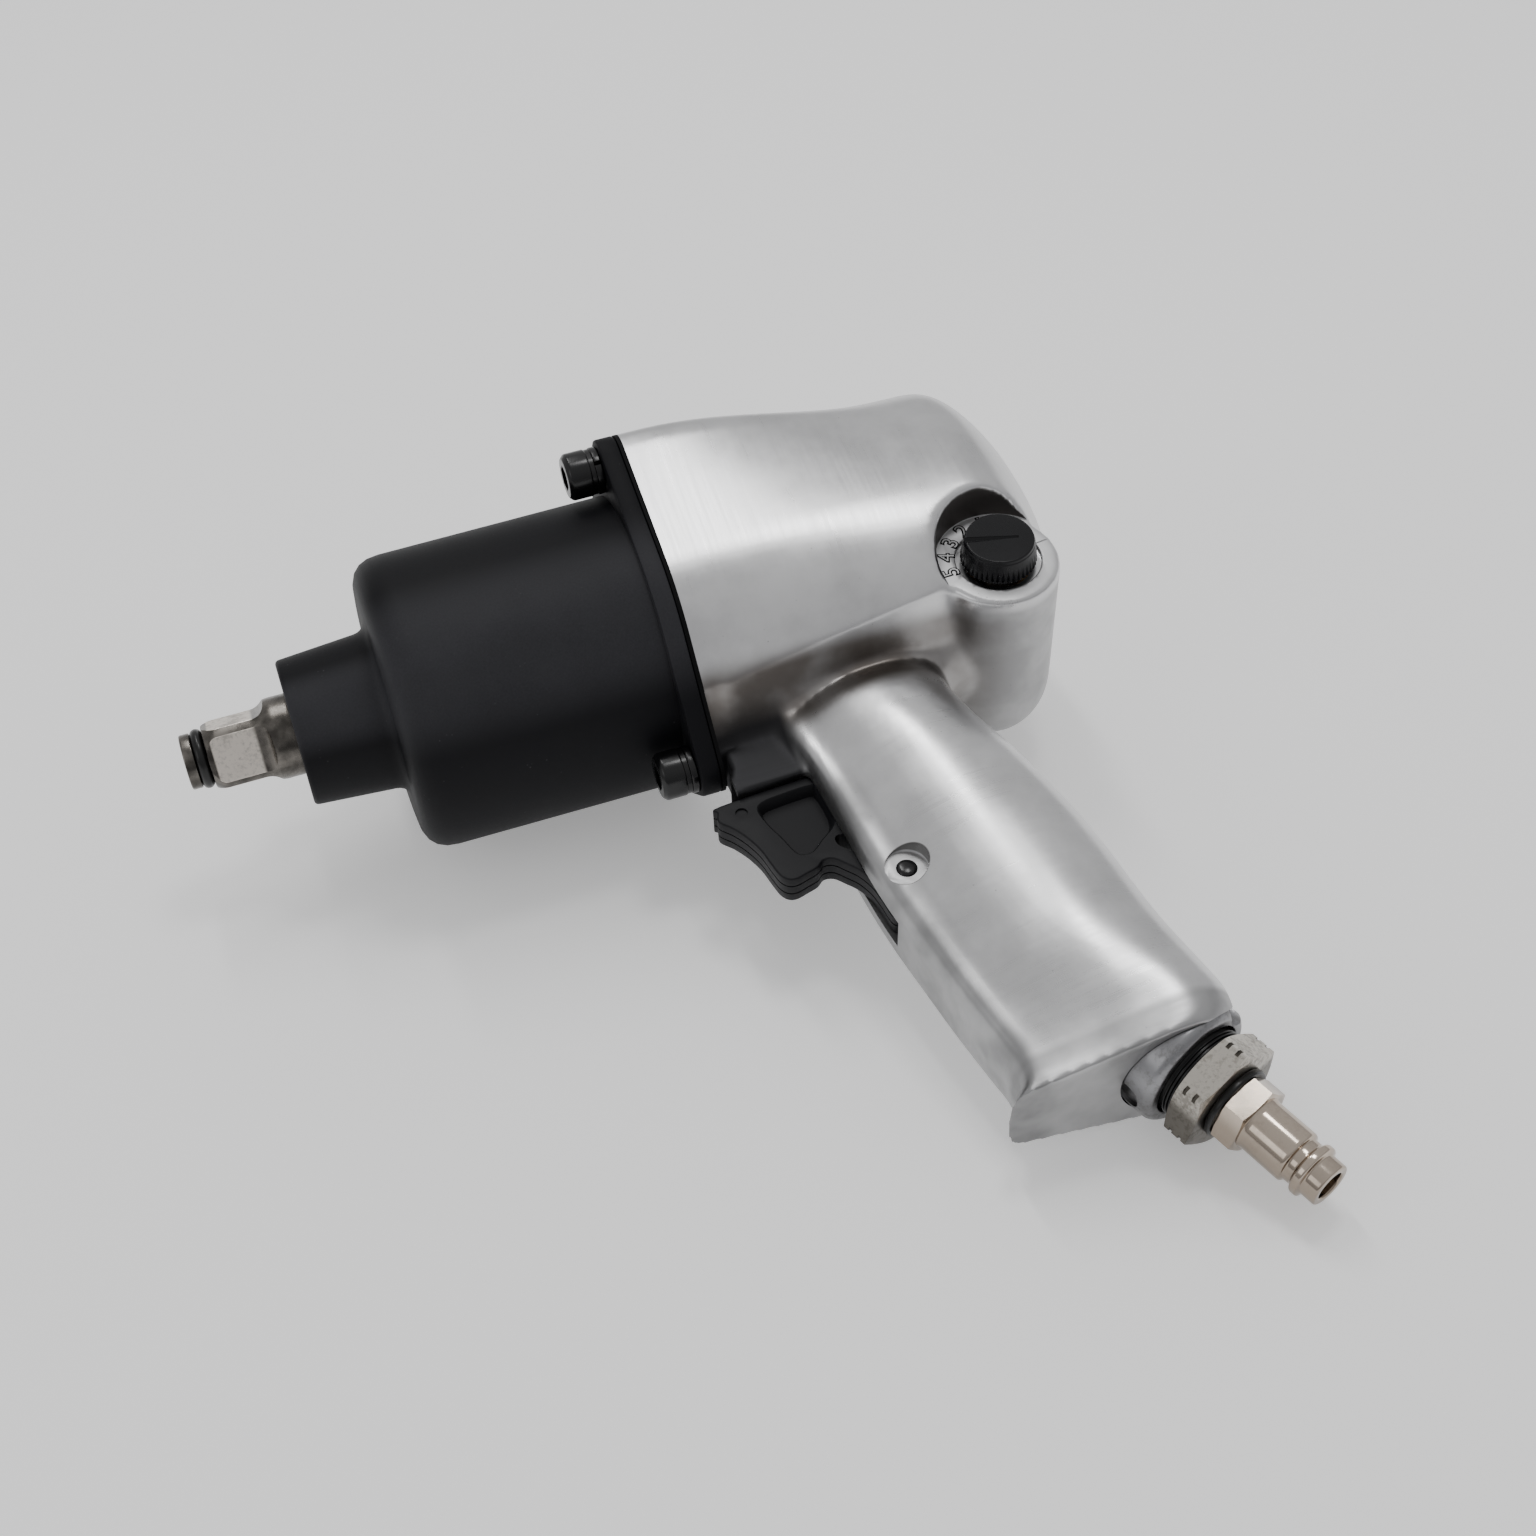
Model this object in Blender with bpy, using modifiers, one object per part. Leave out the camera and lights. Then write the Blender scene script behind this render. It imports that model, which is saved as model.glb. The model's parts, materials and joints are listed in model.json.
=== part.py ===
"""Air impact wrench with a half-inch square drive, lying on its right side as it would on a bench.

Each piece is modelled in the frame of the axis that it belongs to. The tool frame has x forward along
the drive, y to the tool's left and z up, with its origin on the drive axis where the casting meets the
gasket. The empty rest_pose lays the tool frame down, with the nose towards -X and the handle towards -Y.
"""

import math

import bmesh
import bpy
import numpy as np
from mathutils import Matrix, Vector

MM = 0.001

# Fits
SEAT_GAP = 0.1 * MM  # between fixed pieces that rest on each other
RUN_GAP = 0.3 * MM  # round pieces that turn or slide
CUT_OVER = 4.0 * MM  # how far a cutter runs past the face it opens

# Flange and its screws
BODY_RADIUS = 33.5 * MM
EAR_REACH = 4.8 * MM  # screw centres beyond the flange's circle
EAR_CIRCLE = BODY_RADIUS + EAR_REACH
EAR_RADIUS = 6.2 * MM
EAR_ANGLES = (60.0, 180.0, 300.0)  # degrees from the top, towards the left
GASKET_THICKNESS = 0.8 * MM
FLANGE_THICKNESS = 4.2 * MM
SCREW_RADIUS = 3.0 * MM
SCREW_HEAD_RADIUS = 5.0 * MM
SCREW_HEAD_HEIGHT = 6.0 * MM
SCREW_SOCKET_FLATS = 5.0 * MM
SCREW_SOCKET_DEPTH = 3.0 * MM
SCREW_GRIP = 18.0 * MM  # length of thread in the casting
WASHER_THICKNESS = 1.5 * MM
WASHER_SPLIT = 0.9 * MM

# Hammer case
CASE_LENGTH = 59.8 * MM  # flange back to front shoulder
CASE_STEP = 1.6 * MM  # from the flange in to the barrel
CASE_TAPER = 0.3 * MM
CASE_REAR_RADIUS = BODY_RADIUS - CASE_STEP
CASE_FRONT_RADIUS = CASE_REAR_RADIUS - CASE_TAPER
CASE_CORNER = 6.0 * MM
CASE_WALL = 3.6 * MM
CASE_FRONT_WALL = 6.5 * MM
NOSE_LENGTH = 19.7 * MM
NOSE_REAR_RADIUS = 17.0 * MM
NOSE_FRONT_RADIUS = 15.6 * MM
BUSHING_WALL = 2.3 * MM

# Anvil
SQUARE_DRIVE = 12.7 * MM
SQUARE_TURN = -35.0  # degrees about the drive axis
SQUARE_CORNER = 1.5 * MM
SQUARE_LENGTH = 10.6 * MM
COLLAR_RADIUS = 8.75 * MM
COLLAR_LENGTH = 4.2 * MM  # ahead of the nose
SHOULDER_LENGTH = 3.4 * MM
RING_GROOVE_LENGTH = 2.6 * MM
RING_GROOVE_RADIUS = 3.9 * MM
RING_WIRE = 1.05 * MM
RING_GAP_TURN = 20.0  # degrees
TIP_LENGTH = 2.2 * MM
TIP_RADIUS = 5.85 * MM
ANVIL_JAW_WIDTH = 6.4 * MM
ANVIL_PILOT_RADIUS = 5.4 * MM

# Twin hammer clutch
CAGE_CLEARANCE = 1.6 * MM  # round the clutch, inside the hammer case
CAGE_RADIUS = CASE_FRONT_RADIUS - CASE_WALL - CAGE_CLEARANCE
CAGE_WALL = 3.6 * MM
CAGE_PLATE = 5.6 * MM
CAGE_WINDOW_ANGLE = 58.0  # degrees each side of a hammer pin
CAGE_START = 6.8 * MM
HAMMER_THICKNESS = 14.0 * MM
HAMMER_RADIUS = CAGE_RADIUS - CAGE_WALL - RUN_GAP
HAMMER_WALL = 9.9 * MM
HAMMER_BORE = HAMMER_RADIUS - HAMMER_WALL
HAMMER_DOG_WIDTH = 7.0 * MM
ANVIL_JAW_REACH = HAMMER_BORE - 2 * RUN_GAP
HAMMER_PIN_RADIUS = 3.2 * MM
HAMMER_PIN_INSET = 3.9 * MM
HAMMER_PIN_CIRCLE = HAMMER_RADIUS - HAMMER_PIN_INSET

# Air motor
CASTING_LENGTH = 83.0 * MM
MOTOR_WALL = 4.3 * MM
MOTOR_REAR_WALL = 30.0 * MM  # casting behind the motor, with the valve in it
MOTOR_ENDS = 18.0 * MM  # bore length taken by end plates, gasket and clearance
MOTOR_BORE_RADIUS = BODY_RADIUS - MOTOR_WALL
MOTOR_BORE_DEPTH = CASTING_LENGTH - MOTOR_REAR_WALL
END_PLATE_THICKNESS = 6.4 * MM
CYLINDER_LENGTH = MOTOR_BORE_DEPTH - MOTOR_ENDS
CYLINDER_RADIUS = MOTOR_BORE_RADIUS - RUN_GAP
CYLINDER_WALL = 3.9 * MM  # where it is thinnest
CYLINDER_OFFSET = 1.6 * MM
CYLINDER_BORE = CYLINDER_RADIUS - CYLINDER_WALL - CYLINDER_OFFSET
ROTOR_CLEARANCE = 0.5 * MM
ROTOR_RADIUS = CYLINDER_BORE - CYLINDER_OFFSET - ROTOR_CLEARANCE
ROTOR_SHAFT_RADIUS = 6.4 * MM
VANE_COUNT = 6
VANE_THICKNESS = 2.0 * MM
VANE_HEIGHT = 8.0 * MM
BEARING_HEIGHT = 4.6 * MM
FRONT_BEARING_RADIUS = 13.0 * MM
REAR_BEARING_RADIUS = 11.0 * MM
REAR_GASKET_THICKNESS = 0.6 * MM
DOWEL_RADIUS = 1.3 * MM
DOWEL_INSET = 3.0 * MM
DOWEL_CIRCLE = CYLINDER_RADIUS - DOWEL_INSET

# Motor casting
REAR_SPREAD = 0.1 * MM  # rear section beyond the flange's circle, sideways
REAR_RISE = 1.1 * MM  # and upwards
REAR_HALF_WIDTH = BODY_RADIUS + REAR_SPREAD
REAR_HALF_HEIGHT = BODY_RADIUS + REAR_RISE
REAR_SQUARENESS = 2.55  # exponent of the rounded-square rear section
EAR_FADE_START = 4.0 * MM
EAR_FADE_LENGTH = 65.0 * MM
RIDGE_FRONT_ANGLE = 154.0  # degrees from the top, at the gasket
RIDGE_TURN = 0.23  # degrees per millimetre of length
RIDGE_UNDERCUT = 0.42
RIDGE_UNDERCUT_ANGLE = 9.0
RIDGE_LIFT = 1.7 * MM
RIDGE_LIFT_ANGLE = 34.0
RIDGE_RUN_IN = 5.0 * MM  # length over which the ridge rises behind the gasket
REAR_ROUNDING = (  # distance before the rear end and size of the section there
    (18.0, 1.0),
    (15.0, 0.99),
    (12.0, 0.955),
    (9.0, 0.885),
    (6.0, 0.785),
    (3.0, 0.655),
    (1.0, 0.54),
    (0.0, 0.44),
)
BODY_STATIONS = (0.0, 0.077, 0.185, 0.323, 0.477, 0.631, 0.769, 0.892)  # shares of the straight run
UPPER_POINTS = 26
LOWER_POINTS = 6

# Handle sections: drop below the drive axis, front and rear edge behind the gasket, half width
HANDLE_STATIONS = (
    (18.0, 8.0, 56.0, 7.6),
    (27.0, 9.6, 55.0, 8.4),
    (33.0, 11.6, 52.2, 10.4),
    (40.0, 13.2, 51.4, 13.6),
    (52.0, 15.3, 53.0, 16.3),
    (66.0, 16.4, 57.6, 17.3),
    (86.0, 17.9, 62.8, 17.4),
    (108.0, 21.3, 65.8, 17.0),
    (122.0, 23.6, 68.4, 16.2),
    (130.0, 25.0, 70.0, 15.5),
    (135.0, 24.6, 69.0, 14.9),
    (138.0, 21.6, 66.6, 14.4),
)
HANDLE_RINGS = 17
GRIP_SECTION = (  # depth and half width, as shares, from the middle of the front to the rear
    (0.0, 0.0),
    (0.0, 0.34),
    (0.035, 0.53),
    (0.13, 0.6),
    (0.34, 0.86),
    (0.58, 1.0),
    (0.8, 0.9),
    (0.94, 0.58),
    (1.0, 0.0),
)
END_SECTION = (  # the same at the bottom, a wedge with rounded corners
    (0.0, 0.0),
    (0.015, 0.36),
    (0.05, 0.58),
    (0.14, 0.66),
    (0.34, 0.78),
    (0.58, 0.92),
    (0.8, 0.99),
    (0.95, 0.68),
    (1.0, 0.0),
)
END_START = 108.0 * MM  # drop at which the grip begins to change into its end
GRIP_POINTS = 3  # points between neighbours of the section

# Power regulator
KNOB_FROM_REAR = 16.4 * MM
KNOB_BACK = CASTING_LENGTH - KNOB_FROM_REAR
KNOB_DROP = 25.8 * MM
KNOB_SEAT = 23.5 * MM  # height of the dial floor to the left of the drive axis
KNOB_HEIGHT = 5.6 * MM
KNOB_TOP_RADIUS = 7.4 * MM
KNOB_BASE_RADIUS = 8.0 * MM
KNOB_RIBS = 30
KNOB_RIB_DEPTH = 0.35 * MM
POINTER_WIDTH = 0.9 * MM
POINTER_DEPTH = 0.5 * MM
POINTER_TURN = 15.0  # degrees up from straight ahead
DIAL_RADIUS = 13.0 * MM
BOSS_RADIUS = 12.9 * MM
BOSS_STRAIGHT = 34.0 * MM
BOSS_DOME = 15.0 * MM
VALVE_BORE = 7.2 * MM
VALVE_DEPTH = 42.0 * MM
VALVE_WALL = 1.5 * MM
VALVE_STEM_RADIUS = 3.2 * MM
VALVE_SEAL_WIRE = 0.9 * MM

# Trigger and throttle
PIVOT_BACK = 23.5 * MM
PIVOT_DROP = 84.0 * MM
PIVOT_PIN_RADIUS = 2.0 * MM
PIVOT_PIN_LENGTH = 18.4 * MM
PIVOT_COUNTERBORE = 4.3 * MM
TRIGGER_THICKNESS = 7.0 * MM
TRIGGER_EDGE = 0.7 * MM
TRIGGER_RECESS = 2.5 * MM
TRIGGER_MARK_RADIUS = 1.3 * MM
TRIGGER_MARK_DEPTH = 0.4 * MM
TRIGGER_MARK_AT = (-0.6, 55.7)
SLOT_BACK = 28.7 * MM
SLOT_TOP = 47.4 * MM
SLOT_BOTTOM = 92.0 * MM
HOOD_HALF_WIDTH = 5.3 * MM
TRIGGER_BACK = 19.5 * MM  # rear face of the trigger at the throttle rod
THROTTLE_DROP = 63.0 * MM
THROTTLE_BORE = 6.2 * MM
THROTTLE_BORE_END = 54.0 * MM
THROTTLE_ROD_RADIUS = 2.0 * MM
THROTTLE_SLEEVE_LENGTH = 10.0 * MM
THROTTLE_HEAD_RADIUS = 4.6 * MM
THROTTLE_HEAD_LENGTH = 3.4 * MM
THROTTLE_SPRING_RADIUS = 3.4 * MM
THROTTLE_SPRING_WIRE = 0.7 * MM
THROTTLE_SPRING_TURNS = 4

# Outlines of the trigger and the hood over it: distance behind the gasket and below the drive axis
TRIGGER_OUTLINE = (
    (-4.0, 52.4),
    (-5.1, 54.0),
    (-5.6, 56.2),
    (-3.5, 58.8),
    (-1.6, 62.0),
    (-0.1, 65.9),
    (0.7, 70.0),
    (1.4, 72.9),
    (2.6, 74.5),
    (4.3, 74.9),
    (6.7, 74.3),
    (9.0, 73.6),
    (10.7, 72.4),
    (12.7, 72.8),
    (14.6, 74.9),
    (16.4, 77.2),
    (17.8, 80.4),
    (18.5, 84.1),
    (19.2, 88.6),
    (21.6, 89.2),
    (25.4, 88.0),
    (27.6, 85.6),
    (27.6, 82.0),
    (25.2, 77.2),
    (22.0, 71.8),
    (19.7, 66.5),
    (19.3, 60.0),
    (18.6, 53.4),
    (17.0, 51.5),
)
TRIGGER_RECESS_OUTLINE = (
    (2.8, 56.3),
    (4.2, 54.6),
    (8.6, 54.0),
    (14.6, 53.8),
    (16.0, 55.0),
    (16.2, 63.6),
    (12.0, 67.6),
    (9.6, 69.5),
    (7.7, 69.7),
    (6.3, 68.6),
    (4.9, 64.1),
    (3.6, 60.5),
)
TRIGGER_WINDOW = ((14.6, 68.2), (15.7, 67.5), (17.4, 68.4), (18.6, 71.4), (17.2, 72.4), (14.9, 70.2))
HOOD_OUTLINE = (
    (0.8, 41.0),
    (0.8, 45.4),
    (-2.6, 52.0),
    (18.0, 51.0),
    (24.0, 47.0),
    (24.0, 41.0),
)

# Air inlet, along its own axis from the middle of the hexagon
INLET_BACK = 60.9 * MM
INLET_DROP = 144.4 * MM
INLET_LEAN = 20.7  # degrees rearward from straight down
INLET_HEX_FLATS = 20.6 * MM
INLET_HEX_TURN = 20.0  # degrees
INLET_HEX_LENGTH = 6.2 * MM
INLET_SHANK_RADIUS = 8.7 * MM
INLET_SHANK_LENGTH = 23.0 * MM
INLET_BORE = 5.0 * MM
INLET_SEAL_LENGTH = 3.3 * MM
INLET_SEAL_RADIUS = 10.2 * MM
DEFLECTOR_RADIUS = 13.0 * MM
DEFLECTOR_LENGTH = 6.6 * MM
DEFLECTOR_NOTCH = 3.0 * MM
SCREEN_THICKNESS = 1.0 * MM
SCREEN_HOLES = 6
SCREEN_HOLE_RADIUS = 1.3 * MM
SCREEN_HOLE_CIRCLE = 3.6 * MM
PASSAGE_RADIUS = 6.0 * MM
PASSAGE_TOP_BACK = 48.0 * MM
NIPPLE_SEAL_LENGTH = 1.4 * MM
NIPPLE_SEAL_RADIUS = 7.6 * MM
NIPPLE_HEX_FLATS = 13.0 * MM
NIPPLE_HEX_LENGTH = 4.8 * MM
NIPPLE_SHANK_RADIUS = 6.4 * MM
NIPPLE_SHANK_LENGTH = 8.0 * MM
NIPPLE_BODY_RADIUS = 5.4 * MM
NIPPLE_BODY_LENGTH = 9.4 * MM
NIPPLE_NECK_RADIUS = 4.6 * MM
NIPPLE_NECK_LENGTH = 2.6 * MM
NIPPLE_RIDGE_RADIUS = 5.5 * MM
NIPPLE_RIDGE_LENGTH = 1.4 * MM
NIPPLE_TIP_RADIUS = 4.5 * MM
NIPPLE_TIP_LENGTH = 3.6 * MM
NIPPLE_BORE = 2.9 * MM

# Facets
FINE = 44
ROUND = 30
SMALL = 16

# Where pieces end along the drive axis
CASE_BACK = GASKET_THICKNESS + 2 * SEAT_GAP
FLANGE_FRONT = CASE_BACK + FLANGE_THICKNESS
CASE_FRONT = CASE_BACK + CASE_LENGTH
NOSE_FRONT = CASE_FRONT + NOSE_LENGTH
CASE_INNER_FRONT = CASE_FRONT - CASE_FRONT_WALL
BUSHING_INNER = COLLAR_RADIUS + SEAT_GAP
BUSHING_OUTER = BUSHING_INNER + BUSHING_WALL
COLLAR_FRONT = NOSE_FRONT + COLLAR_LENGTH
SQUARE_START = COLLAR_FRONT + SHOULDER_LENGTH
SQUARE_END = SQUARE_START + SQUARE_LENGTH
TIP_BACK = SQUARE_END + RING_GROOVE_LENGTH
TIP_FRONT = TIP_BACK + TIP_LENGTH

HAMMER_START = CAGE_START + CAGE_PLATE + RUN_GAP
CAGE_INNER_END = HAMMER_START + 2 * HAMMER_THICKNESS + 2 * RUN_GAP
CAGE_END = CAGE_INNER_END + CAGE_PLATE
FRONT_PLATE_FRONT = -3.0 * MM
FRONT_PLATE_BACK = FRONT_PLATE_FRONT - END_PLATE_THICKNESS
CYLINDER_FRONT = FRONT_PLATE_BACK - SEAT_GAP
CYLINDER_BACK = CYLINDER_FRONT - CYLINDER_LENGTH
REAR_PLATE_FRONT = CYLINDER_BACK - SEAT_GAP
REAR_PLATE_BACK = REAR_PLATE_FRONT - END_PLATE_THICKNESS

INLET_HEX_HALF = INLET_HEX_LENGTH / 2
DEFLECTOR_END = -INLET_HEX_HALF - INLET_SEAL_LENGTH - 2 * RUN_GAP
DEFLECTOR_START = DEFLECTOR_END - DEFLECTOR_LENGTH
INLET_SHANK_START = -INLET_HEX_HALF - INLET_SHANK_LENGTH
NIPPLE_HEX_START = INLET_HEX_HALF + NIPPLE_SEAL_LENGTH + 2 * SEAT_GAP

KNOB_BASE = KNOB_SEAT + RUN_GAP
PIN_SEAT = PIVOT_PIN_LENGTH / 2


def clear_scene():
    for obj in list(bpy.data.objects):
        bpy.data.objects.remove(obj, do_unlink=True)


def new_collection(name, hidden=False):
    collection = bpy.data.collections.new(name)
    bpy.context.scene.collection.children.link(collection)
    collection.hide_render = hidden
    return collection


clear_scene()
PARTS = new_collection("impact_wrench")
CUTTERS = new_collection("impact_wrench_cutters", hidden=True)


def finish(name, color, roughness, metallic):
    """A Principled material."""
    material = bpy.data.materials.new(name)
    material.use_nodes = True
    shader = material.node_tree.nodes["Principled BSDF"]
    shader.inputs["Base Color"].default_value = (*color, 1.0)
    shader.inputs["Roughness"].default_value = roughness
    shader.inputs["Metallic"].default_value = metallic
    return material


FINISHES = {
    "polished_aluminium": ((0.74, 0.74, 0.75), 0.3, 1.0),
    "black_case": ((0.02, 0.02, 0.021), 0.62, 0.0),
    "black_gasket": ((0.015, 0.015, 0.016), 0.8, 0.0),
    "black_steel": ((0.02, 0.02, 0.02), 0.28, 0.8),
    "bright_steel": ((0.62, 0.6, 0.57), 0.34, 1.0),
    "bronze": ((0.6, 0.42, 0.22), 0.4, 1.0),
    "cast_iron": ((0.3, 0.3, 0.31), 0.5, 1.0),
    "black_plastic": ((0.025, 0.025, 0.027), 0.45, 0.0),
    "gloss_black": ((0.012, 0.012, 0.013), 0.15, 0.0),
    "black_rubber": ((0.015, 0.015, 0.015), 0.6, 0.0),
    "nickel": ((0.72, 0.68, 0.63), 0.14, 1.0),
    "dull_nickel": ((0.5, 0.48, 0.45), 0.4, 1.0),
    "vane_resin": ((0.32, 0.2, 0.1), 0.6, 0.0),
}


def add_empty(name, parent, location=(0, 0, 0), turn=Matrix()):
    empty = bpy.data.objects.new(name, None)
    PARTS.objects.link(empty)
    empty.empty_display_size = 0.01
    empty.parent = parent
    empty.matrix_local = Matrix.Translation(location) @ turn
    return empty


ALONG_X = Matrix.Rotation(math.radians(90), 4, "Y")  # local Z runs forward, local X down
ALONG_Y = Matrix.Rotation(math.radians(-90), 4, "X")  # local Z runs left, local Y down

REST = add_empty("rest_pose", None)
TOOL = add_empty("tool_frame", REST)
DRIVE = add_empty("drive_axis", TOOL, turn=ALONG_X)
KNOB = add_empty("knob_axis", TOOL, (-KNOB_BACK, 0, -KNOB_DROP), ALONG_Y)
PIVOT = add_empty("trigger_pivot", TOOL, (-PIVOT_BACK, 0, -PIVOT_DROP), ALONG_Y)
THROTTLE = add_empty("throttle_axis", TOOL, (0, 0, -THROTTLE_DROP), ALONG_X)
INLET = add_empty(
    "inlet_axis",
    TOOL,
    (-INLET_BACK, 0, -INLET_DROP),
    Matrix.Rotation(math.radians(180 + INLET_LEAN), 4, "Y"),
)


def place(obj, frame, material=None, cutter=False):
    """Hangs an object on a frame, as a part or as a cutter."""
    obj.parent = frame
    if cutter:
        CUTTERS.objects.link(obj)
        obj.hide_render = True
        obj.display_type = "WIRE"
        return obj
    PARTS.objects.link(obj)
    own = finish(obj.name + "_finish", *FINISHES[material])
    obj.data.materials.clear()
    obj.data.materials.append(own)
    return obj


def mesh_object(name, bm):
    mesh = bpy.data.meshes.new(name)
    bm.to_mesh(mesh)
    bm.free()
    return bpy.data.objects.new(name, mesh)


def smooth(obj, angle=35.0):
    obj.data.shade_smooth()
    obj.data.set_sharp_from_angle(angle=math.radians(angle))


def turned(name, profile, frame, material=None, steps=ROUND, closed=False, cutter=False):
    """A profile of (radius, height) points, top to bottom down its outer side, turned about local Z.

    A closed profile goes on up its inner side and makes a ring.
    """
    bm = bmesh.new()
    points = [bm.verts.new((radius, 0, height)) for radius, height in profile]
    pairs = list(zip(points, points[1:]))
    if closed:
        pairs.append((points[-1], points[0]))
    for pair in pairs:
        bm.edges.new(pair)
    obj = mesh_object(name, bm)
    screw = obj.modifiers.new("turn", "SCREW")
    screw.steps = screw.render_steps = steps
    screw.use_merge_vertices = True
    screw.merge_threshold = 1e-6
    screw.use_smooth_shade = True
    return place(obj, frame, material, cutter)


def ring(name, inner, outer, low, high, frame, material=None, steps=ROUND, edge=0.0, cutter=False):
    """A plain turned ring, its outer edges broken by edge."""
    profile = [
        (inner, high),
        (outer - edge, high),
        (outer, high - edge),
        (outer, low + edge),
        (outer - edge, low),
        (inner, low),
    ]
    if edge == 0:
        profile = [(inner, high), (outer, high), (outer, low), (inner, low)]
    return turned(name, profile, frame, material, steps, True, cutter)


def rod(name, radius, low, high, frame, material=None, steps=SMALL, edge=0.0, cutter=False):
    """A plain turned rod, its ends broken by edge."""
    profile = [
        (0, high),
        (radius - edge, high),
        (radius, high - edge),
        (radius, low + edge),
        (radius - edge, low),
        (0, low),
    ]
    if edge == 0:
        profile = [(0, high), (radius, high), (radius, low), (0, low)]
    return turned(name, profile, frame, material, steps, False, cutter)


def moved(obj, location, turn=0.0):
    """Shifts an object in its frame and turns it about local Z, in degrees."""
    obj.location = location
    obj.rotation_euler = (0, 0, math.radians(turn))
    return obj


def box(name, corner, opposite, frame, material=None, cutter=False):
    """A block between two opposite corners, taken in either order."""
    bm = bmesh.new()
    bmesh.ops.create_cube(bm, size=1)
    size = [abs(b - a) for a, b in zip(corner, opposite)]
    bmesh.ops.scale(bm, vec=size, verts=bm.verts)
    bmesh.ops.translate(bm, vec=(Vector(corner) + Vector(opposite)) / 2, verts=bm.verts)
    return place(mesh_object(name, bm), frame, material, cutter)


def extruded(name, outline, low, high, frame, material=None, cutter=False):
    """A flat outline of (x, y) points, raised along local Z from low to high."""
    curve = bpy.data.curves.new(name, "CURVE")
    curve.dimensions = "2D"
    curve.fill_mode = "BOTH"
    curve.extrude = (high - low) / 2
    spline = curve.splines.new("POLY")
    spline.points.add(len(outline) - 1)
    for point, (x, y) in zip(spline.points, outline):
        point.co = (x, y, 0, 1)
    spline.use_cyclic_u = True
    sketch = bpy.data.objects.new(name + "_outline", curve)
    PARTS.objects.link(sketch)
    graph = bpy.context.evaluated_depsgraph_get()
    mesh = bpy.data.meshes.new_from_object(sketch.evaluated_get(graph))
    bpy.data.objects.remove(sketch, do_unlink=True)
    bpy.data.curves.remove(curve)
    bm = bmesh.new()
    bm.from_mesh(mesh)
    bpy.data.meshes.remove(mesh)
    bmesh.ops.remove_doubles(bm, verts=bm.verts, dist=1e-6)
    bmesh.ops.translate(bm, vec=(0, 0, (low + high) / 2), verts=bm.verts)
    bmesh.ops.recalc_face_normals(bm, faces=bm.faces)
    return place(mesh_object(name, bm), frame, material, cutter)


def loft(name, rings, frame, material=None, cutter=False):
    """Skins rings of equal point counts and closes both ends."""
    bm = bmesh.new()
    rows = [[bm.verts.new(point) for point in points] for points in rings]
    for lower, upper in zip(rows, rows[1:]):
        for i in range(len(lower)):
            k = (i + 1) % len(lower)
            bm.faces.new((lower[i], lower[k], upper[k], upper[i]))
    bm.faces.new(rows[0])
    bm.faces.new(rows[-1])
    bmesh.ops.recalc_face_normals(bm, faces=bm.faces)
    bmesh.ops.triangulate(bm, faces=bm.faces)
    return place(mesh_object(name, bm), frame, material, cutter)


def combine(target, other, operation="DIFFERENCE"):
    change = target.modifiers.new(other.name, "BOOLEAN")
    change.operation = operation
    change.object = other
    return target


def bevel(obj, width, segments=2, angle=35.0):
    edges = obj.modifiers.new("edges", "BEVEL")
    edges.width = width
    edges.segments = segments
    edges.limit_method = "ANGLE"
    edges.angle_limit = math.radians(angle)
    edges.use_clamp_overlap = True
    return obj


def polar(radius, angle):
    """A point in a frame along the drive, at an angle in degrees from the top towards the left."""
    turn = math.radians(angle)
    return (-radius * math.cos(turn), radius * math.sin(turn))


def hexagon(flats, turn=0.0):
    corner = flats / math.sqrt(3)
    angles = [math.radians(turn + 60 * i) for i in range(6)]
    return [(corner * math.cos(a), corner * math.sin(a)) for a in angles]


def flange_radius(angle):
    """Outline of the flange: a circle drawn tangent to an ear round each screw, at an angle in degrees."""
    offset = min(abs((angle - ear + 180) % 360 - 180) for ear in EAR_ANGLES)
    offset = math.radians(offset)
    tangent = math.acos((BODY_RADIUS - EAR_RADIUS) / EAR_CIRCLE)
    if offset >= tangent:
        return BODY_RADIUS
    ear_end = math.atan2(
        EAR_RADIUS * math.sin(tangent), EAR_CIRCLE + EAR_RADIUS * math.cos(tangent)
    )
    if offset >= ear_end:
        return BODY_RADIUS / math.cos(tangent - offset)
    across = EAR_CIRCLE * math.sin(offset)
    return EAR_CIRCLE * math.cos(offset) + math.sqrt(EAR_RADIUS**2 - across**2)


def flange_outline(points=72):
    angles = [360 * i / points for i in range(points)]
    return [polar(flange_radius(angle), angle) for angle in angles]


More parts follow.
